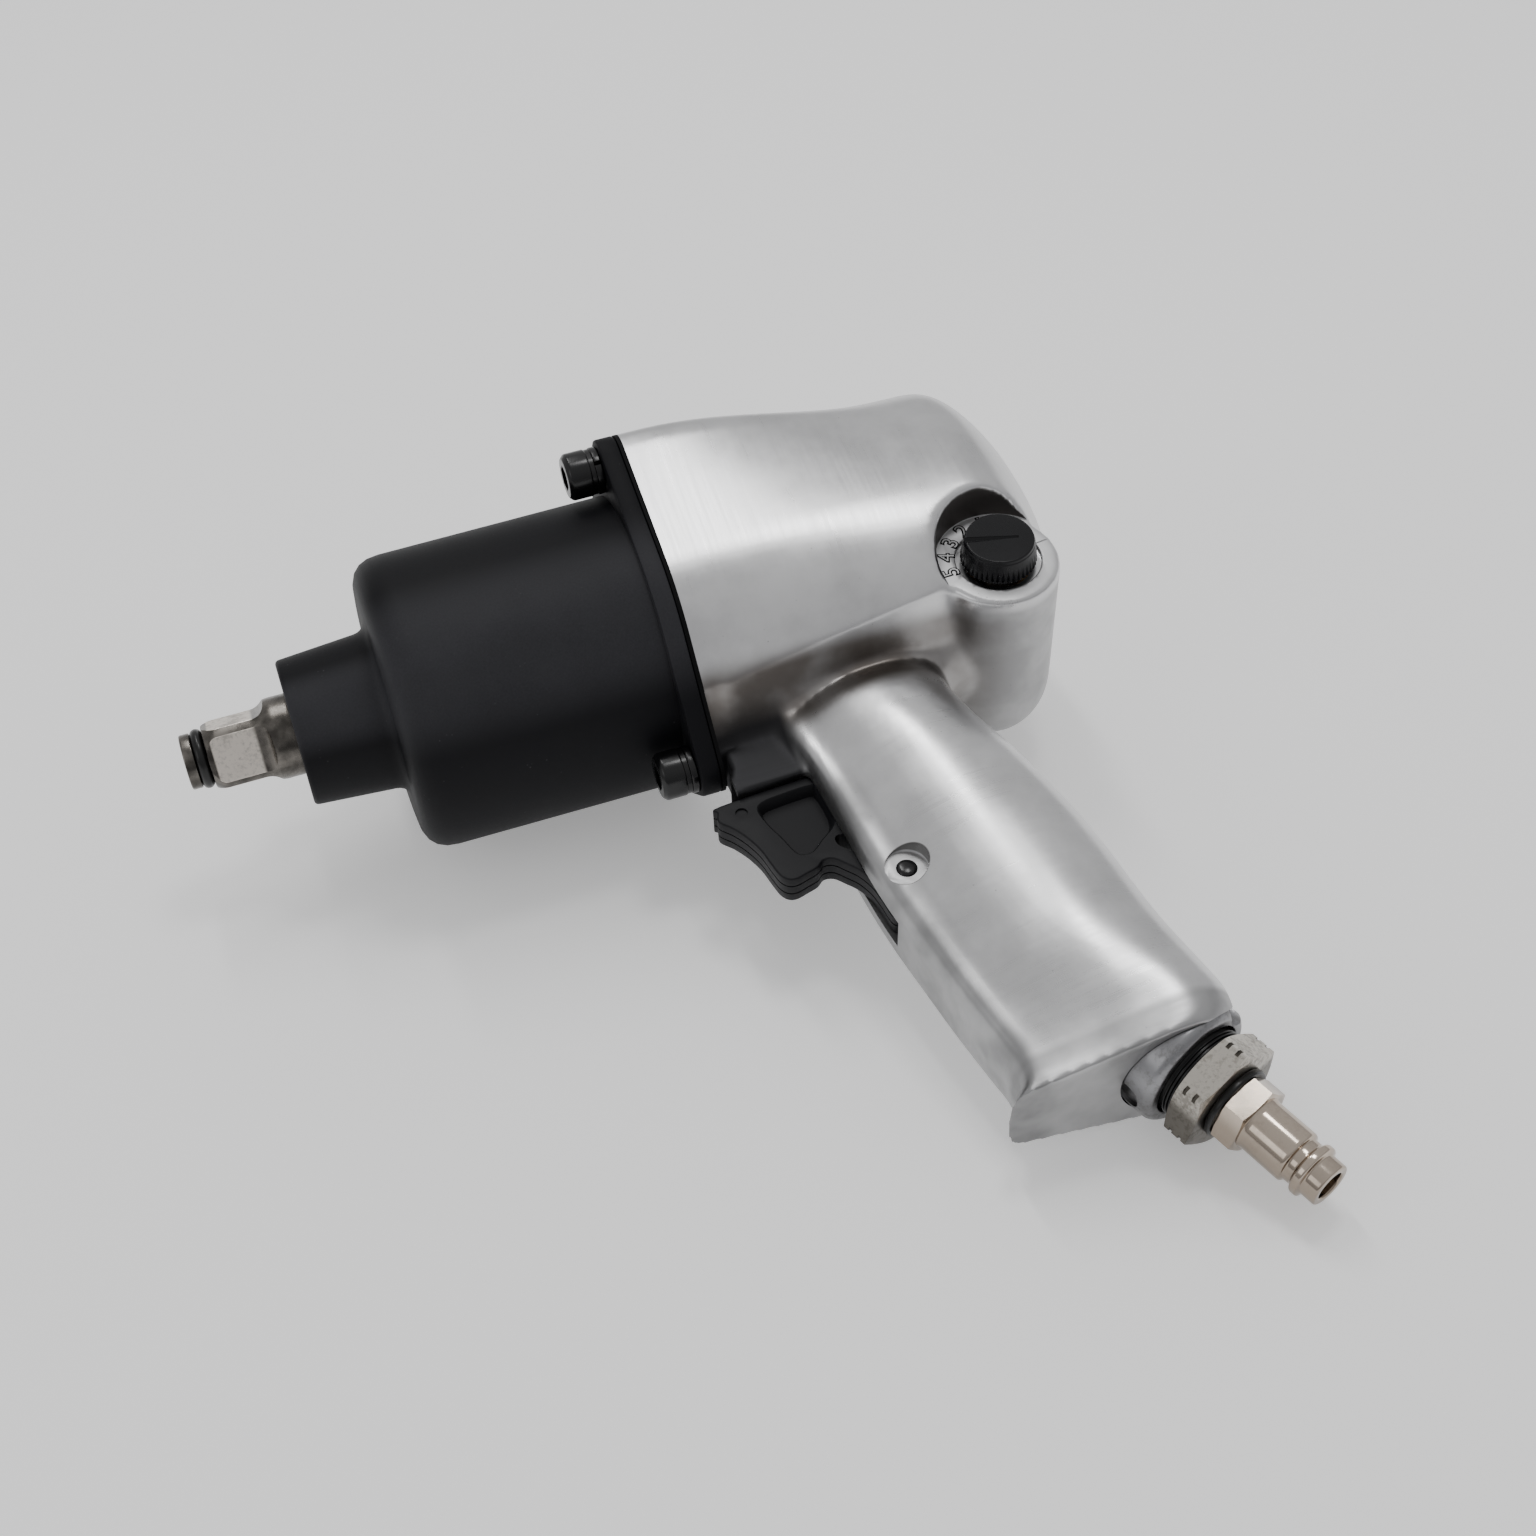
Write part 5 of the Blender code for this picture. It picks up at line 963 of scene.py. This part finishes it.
class WRENCH_OT_dial(bpy.types.Operator):
    """Raise the numbers of the power scale on the dial's floor, each in a dark outline"""

    bl_idname = "wrench.dial"
    bl_label = "Dial numbers"

    def execute(self, context):
        sizes = in_mm(context)
        lines = dial_numbers(sizes, 0.24, -0.1, 0.03)
        settle(lines, "dial_number_lines", "housing", "black_gasket", [])
        faces = dial_numbers(sizes, -0.08, -0.1, 0.12)
        settle(faces, "dial_numbers", "housing", "polished_aluminium", [])
        return {"FINISHED"}


class WRENCH_OT_case(bpy.types.Operator):
    """Build the black hammer case with its flange, and the gasket and bushing in it"""

    bl_idname = "wrench.case"
    bl_label = "Hammer case"

    def execute(self, context):
        sizes = in_mm(context)
        back = sizes.gasket + 0.2
        front = back + sizes.case_length
        nose = front + sizes.nose_length
        root = back + sizes.flange / 2
        inner = sizes.case_radius - CASE_WALL
        wall = front - CASE_FRONT_WALL
        profile = [
            (NOSE_BORE, nose, 0.4), (sizes.nose_radius, nose, 1.0),
            (sizes.nose_radius + 1.4, front, 2.6), (sizes.case_radius, front, sizes.case_corner * 1.15),
            (sizes.case_radius + 0.3, root), (inner, root), (inner, wall, 3), (NOSE_BORE, wall),
        ]
        case = lathe(profile, DRIVE, 128, ring=True)
        flange = plate(flange_outline(sizes), back, back + sizes.flange, DRIVE)
        cut(flange, drum(inner, -4, 20, DRIVE, 128), *screw_holes(sizes, -4, 20))
        soften(flange, 0.5, 2, 60)
        combine(case, flange, "UNION")
        settle(case, "case_casting", "housing", "black_case", ["hammer_case"])

        gasket = plate(flange_outline(sizes), 0.1, 0.1 + sizes.gasket, DRIVE)
        cut(gasket, drum(MOTOR_BORE, -4, 4, DRIVE, 96), *screw_holes(sizes, -4, 4))
        settle(gasket, "gasket_sheet", "housing", "black_gasket", ["case_gasket"])

        inner, outer = sizes.collar + 0.1, NOSE_BORE - 0.1
        bush = [(inner, nose - 1, 0.4), (outer, nose - 1, 0.5), (outer, wall), (inner, wall)]
        settle(lathe(bush, DRIVE, 96, ring=True), "nose_bushing", "housing", "bronze", ["anvil_bushing"])
        return {"FINISHED"}


class WRENCH_OT_screws(bpy.types.Operator):
    """Build the socket-head case screws and their split washers"""

    bl_idname = "wrench.screws"
    bl_label = "Case screws"

    def execute(self, context):
        sizes = in_mm(context)
        low = sizes.gasket + 0.2 + sizes.flange + 0.1
        seat = low + 1.6
        top = seat + 6
        head = sizes.screw_head
        for number, (ear, angle) in enumerate(ear_frames(sizes), 1):
            turn = ear @ turned(angle)
            profile = [(0, top), (head - 0.8, top, 0.2), (head, top - 0.8, 0.4), (head, seat + 1.1, 0.2)]
            profile += [(head - 0.2, seat + 0.9), (head - 0.2, seat), (3, seat)]
            profile += [(3, -17.5), (2.5, -18), (0, -18)]
            screw = lathe(profile, ear, 64)
            combine(screw, plate(hexagon(5), top - 3, top + 4, turn))
            settle(screw, f"socket_screw_{number}", "housing", "black_steel", [f"case_screw_{number}"])
            ring = [(SCREW_HOLE, low + 1.5), (head, low + 1.5, 0.3), (head, low, 0.3), (SCREW_HOLE, low)]
            washer = lathe(ring, ear, 64, ring=True)
            combine(washer, block((0, -0.45, 0), (2 * head, 0.45, 2 * top), turn))
            settle(washer, f"split_washer_{number}", "housing", "black_steel", [f"lock_washer_{number}"])
        return {"FINISHED"}


class WRENCH_OT_anvil(bpy.types.Operator):
    """Build the anvil with its scooped square drive, and the friction ring in its groove"""

    bl_idname = "wrench.anvil"
    bl_label = "Anvil"

    def execute(self, context):
        sizes = in_mm(context)
        start, end = square_run(sizes)
        tip = end + 2.6
        half = sizes.square / 2
        corner = half * math.sqrt(2) - 1.0
        profile = [
            (0, tip + 2.2), (5.85, tip + 2.2, 0.5), (5.85, tip, 0.3), (3.9, tip), (3.9, end),
            (6.6, end, 0.4), (corner, end - 1.9, 0.8), (corner, start - 0.4, 1.0),
            (sizes.collar, start - SHOULDER, 0.8), (sizes.collar, 12.7), (5.4, 12.7), (5.4, 9.9),
            (0, 9.9),
        ]
        anvil = lathe(profile, DRIVE, 96)
        scoop = [(end + 1, half), (end + 1, 14), (start - SCOOP, 14)]
        for t in np.linspace(0, math.pi / 2, 12):
            scoop.append((start - SCOOP * math.cos(t), half + SCOOP * (1 - math.sin(t))))
        upright = Matrix(((0, 1, 0, 0), (0, 0, 1, 0), (1, 0, 0, 0), (0, 0, 0, 1)))
        for side in range(4):
            combine(anvil, plate(scoop, -12, 12, DRIVE @ turned(SQUARE_TURN + 90 * side) @ upright))
        for low, reach in ((13.0, 12), (27.3, -12)):
            combine(anvil, block((-3.2, 0, low), (3.2, reach, low + 13.4), DRIVE), "UNION")
        settle(anvil, "square_anvil", "anvil", "bright_steel", ["anvil"], 30)
        middle = (end + tip) / 2
        hoop = [
            (RING_RADIUS + RING_WIRE * math.cos(t), middle - RING_WIRE * math.sin(t))
            for t in np.linspace(0, 2 * math.pi, 20)[:-1]
        ]
        ring = lathe(hoop, DRIVE, 96, ring=True)
        combine(ring, block((0, -0.4, middle - 2), (12, 0.4, middle + 2), DRIVE @ turned(200)))
        settle(ring, "friction_ring", "anvil", "black_rubber", ["socket_ring"])
        return {"FINISHED"}


class WRENCH_OT_knob(bpy.types.Operator):
    """Build the ribbed regulator knob with its pointer slot"""

    bl_idname = "wrench.knob"
    bl_label = "Regulator knob"

    def execute(self, context):
        sizes = in_mm(context)
        base = sizes.dial_floor + RUN_GAP
        top = base + sizes.knob_height
        rim = sizes.knob_radius - 0.6
        profile = [(0, top), (rim - 0.25, top, 0.35), (rim - 0.15, top - 0.7, 0.2), (rim, top - 0.9, 0.1)]
        profile += [(sizes.knob_radius, base, 0.3), (3.3, base), (3.3, base + 2.9), (0, base + 2.9)]
        knob = lathe(profile, KNOB, 120)
        teeth = []
        for i in range(KNOB_RIBS * RIB_POINTS):
            wave = 0.5 + 0.5 * math.cos(2 * math.pi * i / RIB_POINTS)
            turn = 2 * math.pi * i / (KNOB_RIBS * RIB_POINTS)
            radius = sizes.knob_radius - RIB_DEPTH * wave**1.5
            teeth.append((radius * math.cos(turn), radius * math.sin(turn)))
        skirt = plate(teeth, base - 1, top - 0.85, KNOB)
        combine(skirt, drum(rim - 0.05, top - 2, top + 4, KNOB, 96), "UNION")
        combine(knob, skirt, "INTERSECT")
        rings = []
        for reach, half in ((-3.9, 0.3), (14, 1.15)):
            side = [(half, top + 1), (half, top - 0.1), (0.1, top - 0.5)]
            rings.append([(reach, -y, z) for y, z in side] + [(reach, y, z) for y, z in side[::-1]])
        combine(knob, skin(rings, KNOB @ turned(POINTER_TURN)))
        settle(knob, "ribbed_knob", "regulator", "gloss_black", ["regulator_knob"], 30)
        return {"FINISHED"}


class WRENCH_OT_trigger(bpy.types.Operator):
    """Build the moulded trigger with its bands, recesses, window and mark, and its pivot pin"""

    bl_idname = "wrench.trigger"
    bl_label = "Trigger"

    def execute(self, context):
        sizes = in_mm(context)
        half = sizes.trigger / 2
        outline = loop_through(side_points(TRIGGER_OUTLINE), 5)
        trigger = plate(outline, -half, half, PIVOT)
        soften(trigger, 0.7, 3, 60)
        for low in (-1.35, 1.0):
            band = plate(swollen(outline, 2), low, low + 0.35, PIVOT)
            combine(trigger, combine(band, plate(swollen(outline, -0.35), low - 1, low + 1, PIVOT)))
        recess = loop_through(side_points(TRIGGER_RECESS), 4)
        floor = half - 2.5
        for side in (1, -1):
            levels = ((-0.9, floor), (0, half - 0.2), (0.4, half + 0.1), (0.4, 2 * half))
            rings = [[(x, y, side * z) for x, y in swollen(recess, margin)] for margin, z in levels]
            combine(trigger, skin(rings, PIVOT))
        window = loop_through(side_points(TRIGGER_WINDOW), 4)
        combine(trigger, plate(window, -2 * half, 2 * half, PIVOT))
        mark = PIVOT @ shifted(*side_points([TRIGGER_MARK])[0], 0)
        combine(trigger, drum(1.3, half - 0.4, half + 4, mark, 32))
        combine(trigger, drum(PIN_HOLE, -2 * half, 2 * half, PIVOT, 32))
        settle(trigger, "trigger_lever", "trigger", "black_plastic", ["trigger"], 32)
        pin = [(0, 9.8), (2.05, 9.5, 0.8), (2, -9.2, 0.4), (0, -9.2)]
        settle(lathe(pin, PIVOT, 48), "pivot_pin", "housing", "black_steel", ["trigger_pin"])
        return {"FINISHED"}


def coil(radius, wire, low, high, turns, matrix):
    """An open coil of round wire along the local Z axis."""
    rings = []
    for share in np.linspace(0, 1, 24 * turns + 1):
        turn = 2 * math.pi * turns * share
        out = Vector((math.cos(turn), math.sin(turn), 0))
        rise = (high - low) / (2 * math.pi * turns)
        along = Vector((-radius * out.y, radius * out.x, rise)).normalized()
        middle = out * radius + Vector((0, 0, low + (high - low) * share))
        side = along.cross(out)
        angles = [2 * math.pi * i / 12 for i in range(12)]
        rings.append([middle + (out * math.cos(a) + side * math.sin(a)) * wire for a in angles])
    return skin(rings, matrix)


class WRENCH_OT_spring(bpy.types.Operator):
    """Wind the spring that pushes the throttle rod back"""

    bl_idname = "wrench.spring"
    bl_label = "Throttle spring"

    def execute(self, context):
        near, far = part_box("throttle_spring")
        back, front = ((TOOL.translation.x - edge[0]) / MM for edge in (far, near))
        wire = in_mm(context).spring_wire
        spring = coil(SPRING_RADIUS, wire, back + wire, front - wire, SPRING_TURNS, THROTTLE)
        settle(spring, "throttle_coil", "housing", "bright_steel", ["throttle_spring"], 40, "spring_steel")
        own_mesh(spring)
        return {"FINISHED"}


def hex_bar(flats, low, high, turn):
    """A hexagon bar whose corners are turned down at both ends."""
    corner = flats / math.sqrt(3)
    slope = (corner - flats / 2) * 0.35
    bar = plate(hexagon(flats, turn), low, high, INLET)
    inner, outer = flats / 2 - 0.1, corner + 0.1
    limit = [(0, high), (inner, high, 0.2), (outer, high - slope)]
    limit += [(outer, low + slope), (inner, low, 0.2), (0, low)]
    return combine(bar, lathe(limit, INLET, 96), "INTERSECT")


class WRENCH_OT_inlet(bpy.types.Operator):
    """Build the air inlet: bushing, seals, exhaust deflector and nipple"""

    bl_idname = "wrench.inlet"
    bl_label = "Air inlet"

    def execute(self, context):
        sizes = in_mm(context)
        half = 3.1
        bar = hex_bar(sizes.hexagon, -half, half, INLET_HEX_TURN)
        corner = sizes.hexagon / math.sqrt(3)
        for i in range(6):
            edge = INLET @ turned(INLET_HEX_TURN + 60 * i)
            for height in (-NICK_HEIGHT, NICK_HEIGHT):
                low = (corner - 0.38, -3, height - 0.35)
                combine(bar, block(low, (corner + 2, 3, height + 0.35), edge))
        shank = [(0, 0), (8.7, 0), (8.7, -26.1, 0.8), (0, -26.1)]
        combine(bar, lathe(shank, INLET, 64), "UNION")
        bore = [(0, 8), (6.5, 8), (6.5, half - 8), (5, half - 9), (5, -32), (0, -32)]
        combine(bar, lathe(bore, INLET, 64))
        settle(bar, "hexagon_bushing", "housing", "dull_nickel", ["inlet_bushing"], 25)

        neck = [(8.8, -3.2)]
        for i in range(3):
            top = -3.2 - 0.7 * i
            neck += [(9.8, top - 0.1, 0.1), (9.8, top - 0.35, 0.1)]
            neck += [(9.35, top - 0.5), (9.35, top - 0.65)]
        neck += [(9.8, -6.6), (8.8, -6.6)]
        settle(lathe(neck, INLET, 96, ring=True), "grooved_seal", "housing", "black_rubber", ["inlet_seal"])

        lip = COLLAR_LIP
        ring = [(10.2, lip, 0.4), (11.8, lip, 0.5), (COLLAR_RADIUS, lip - 1.2, 0.8)]
        ring += [(COLLAR_RADIUS, -13.5), (10.2, -13.5)]
        deflector = lathe(ring, INLET, 128, ring=True)
        scoop = INLET @ turned(-70) @ shifted(-4, 13.4, 0)
        combine(deflector, drum(3.6, lip - 10, lip + 4, scoop, 48))
        notch = INLET @ turned(186) @ shifted(0, 0, lip - 5.4) @ ALONG_X
        combine(deflector, drum(2.9, 11.8, 16, notch, 48))
        soften(deflector, 0.5, 3, 50)
        nodes = ["exhaust_deflector"]
        settle(deflector, "exhaust_collar", "deflector", "polished_aluminium", nodes, 35, "cast_collar")

        washer = [(6.5, 4.6), (7.6, 4.6, 0.4), (7.6, 3.2, 0.4), (6.5, 3.2)]
        seal = lathe(washer, INLET, 96, ring=True)
        settle(seal, "nipple_washer", "housing", "black_rubber", ["nipple_seal"])

        low = 4.7
        flats = low + 4.8
        body = flats + 9.4
        neck_end = body + 2.6
        ridge = neck_end + 1.4
        tip = ridge + 3.6
        radius = sizes.nipple
        profile = [
            (NIPPLE_BORE, tip, 0.5), (4.5, tip, 0.5), (4.5, ridge + 0.4, 0.3),
            (radius + 0.1, ridge, 0.35), (radius + 0.1, neck_end, 0.4), (4.6, neck_end - 0.5, 0.4),
            (4.6, body + 0.4, 0.3), (radius, body, 0.6), (radius, flats + 0.4, 0.6),
            (6.4, flats - 1.0, 0.6), (6.4, -4.3), (NIPPLE_BORE, -4.3),
        ]
        nipple = lathe(profile, INLET, 96, ring=True)
        nut = hex_bar(13, low, flats, 10)
        combine(nut, drum(NIPPLE_BORE, 0, 20, INLET, 96))
        combine(nipple, nut, "UNION")
        settle(nipple, "quick_nipple", "housing", "nickel", ["air_nipple"], 30)
        return {"FINISHED"}


class WRENCH_OT_inner(bpy.types.Operator):
    """Give the CAD pieces that stay as they are their finishes"""

    bl_idname = "wrench.inner"
    bl_label = "Inner pieces"

    def execute(self, context):
        slots = {item["node"]: item["material_slot"] for item in frame["record"]["subparts"]}
        for name, obj in frame["nodes"].items():
            obj.data.materials.clear()
            obj.data.materials.append(FINISHES[slots[name]])
        return {"FINISHED"}


def put_in_scene(name, data):
    obj = bpy.data.objects.new(name, data)
    bpy.context.scene.collection.objects.link(obj)
    return obj


class WRENCH_OT_stage(bpy.types.Operator):
    """Set the floor, the lights and the camera"""

    bl_idname = "wrench.stage"
    bl_label = "Stage"

    def execute(self, context):
        deselect()
        bpy.ops.mesh.primitive_plane_add(size=6)
        floor = bpy.context.object
        floor.name = "floor"
        finish = Finish("pale_floor", roughness=0.9, emission_strength=0.3)
        finish.feed("Emission Color", (1, 1, 1, 1))
        finish.feed("Base Color", tuple(context.scene.wrench_colours.floor))
        floor.data.materials.append(finish.material)

        world = bpy.data.worlds.new("studio")
        context.scene.world = world
        world.use_nodes = True
        sky = Nodes(world.node_tree)
        direction = sky.node("ShaderNodeTexCoord", output="Generated")
        height = sky.node(
            "ShaderNodeVectorMath", {"operation": "DOT_PRODUCT"}, {0: direction, 1: (0, 0.2, 0.46)}, "Value"
        )
        ramp = sky.node("ShaderNodeValToRGB", None, {"Fac": height + 0.5})
        stops = ((0.35, (0.34, 0.34, 0.35, 1)), (0.75, (0.6, 0.6, 0.605, 1)))
        for element, (position, grey) in zip(ramp.socket.node.color_ramp.elements, stops):
            element.position = position
            element.color = grey
        background = sky.tree.nodes["Background"]
        sky.link(background.inputs["Color"], ramp)
        background.inputs["Strength"].default_value = 1.0

        middle = Vector((0, 0, 30 * MM))
        lights = (
            ("top_panel", (0.22, 0.12, 0.95), 0.2, 0.18, 1.3),
            ("back_strip", (-0.02, 0.5, 0.86), 0.07, 0.5, 1.8),
            ("left_panel", (-0.85, -0.2, 0.5), 0.4, 0.4, 0.6),
        )
        for name, spot, wide, deep, power in lights:
            data = bpy.data.lights.new(name, "AREA")
            data.shape = "RECTANGLE"
            data.size = wide
            data.size_y = deep
            data.energy = power
            lamp = put_in_scene(name, data)
            lamp.location = middle + Vector(spot)
            lamp.rotation_euler = (-Vector(spot)).to_track_quat("-Z", "Y").to_euler()

        data = bpy.data.cameras.new("photo_view")
        data.lens = 52.76
        data.sensor_width = 36
        camera = put_in_scene("photo_view", data)
        right = Vector((-0.94283, -0.02412, -0.33240))
        down = Vector((0.27032, -0.63870, -0.72041))
        ahead = Vector((-0.19493, -0.76908, 0.60871))
        turn = Matrix((right, -down, -ahead)).transposed().to_4x4()
        camera.matrix_world = TOOL @ shifted(80.898, 355.249, -324.862) @ turn
        context.scene.camera = camera
        return {"FINISHED"}


class WRENCH_PT_panel(bpy.types.Panel):
    """Lists the wrench's pieces, sizes and colours"""

    bl_idname = "WRENCH_PT_panel"
    bl_label = "Impact wrench"
    bl_space_type = "VIEW_3D"
    bl_region_type = "UI"
    bl_category = "Wrench"

    def draw(self, context):
        for operator in OPERATORS:
            self.layout.operator(operator.bl_idname)
        for group in (context.scene.wrench_sizes, context.scene.wrench_colours):
            for key in group.__annotations__:
                self.layout.prop(group, key)


OPERATORS = (
    WRENCH_OT_inner,
    WRENCH_OT_housing,
    WRENCH_OT_dial,
    WRENCH_OT_case,
    WRENCH_OT_screws,
    WRENCH_OT_anvil,
    WRENCH_OT_knob,
    WRENCH_OT_trigger,
    WRENCH_OT_spring,
    WRENCH_OT_inlet,
    WRENCH_OT_stage,
)
CLASSES = (WrenchSizes, WrenchColours, *OPERATORS, WRENCH_PT_panel)


def register():
    for item in CLASSES:
        bpy.utils.register_class(item)
    bpy.types.Scene.wrench_sizes = bpy.props.PointerProperty(type=WrenchSizes)
    bpy.types.Scene.wrench_colours = bpy.props.PointerProperty(type=WrenchColours)


def unregister():
    del bpy.types.Scene.wrench_colours
    del bpy.types.Scene.wrench_sizes
    for item in reversed(CLASSES):
        bpy.utils.unregister_class(item)


def main():
    register()
    make_finishes(bpy.context.scene.wrench_colours, in_mm(bpy.context))
    bpy.ops.wrench.inner()
    bpy.ops.wrench.housing()
    bpy.ops.wrench.dial()
    bpy.ops.wrench.case()
    bpy.ops.wrench.screws()
    bpy.ops.wrench.anvil()
    bpy.ops.wrench.knob()
    bpy.ops.wrench.trigger()
    bpy.ops.wrench.spring()
    bpy.ops.wrench.inlet()
    bpy.ops.wrench.stage()
    deselect()


if __name__ == "__main__":
    main()
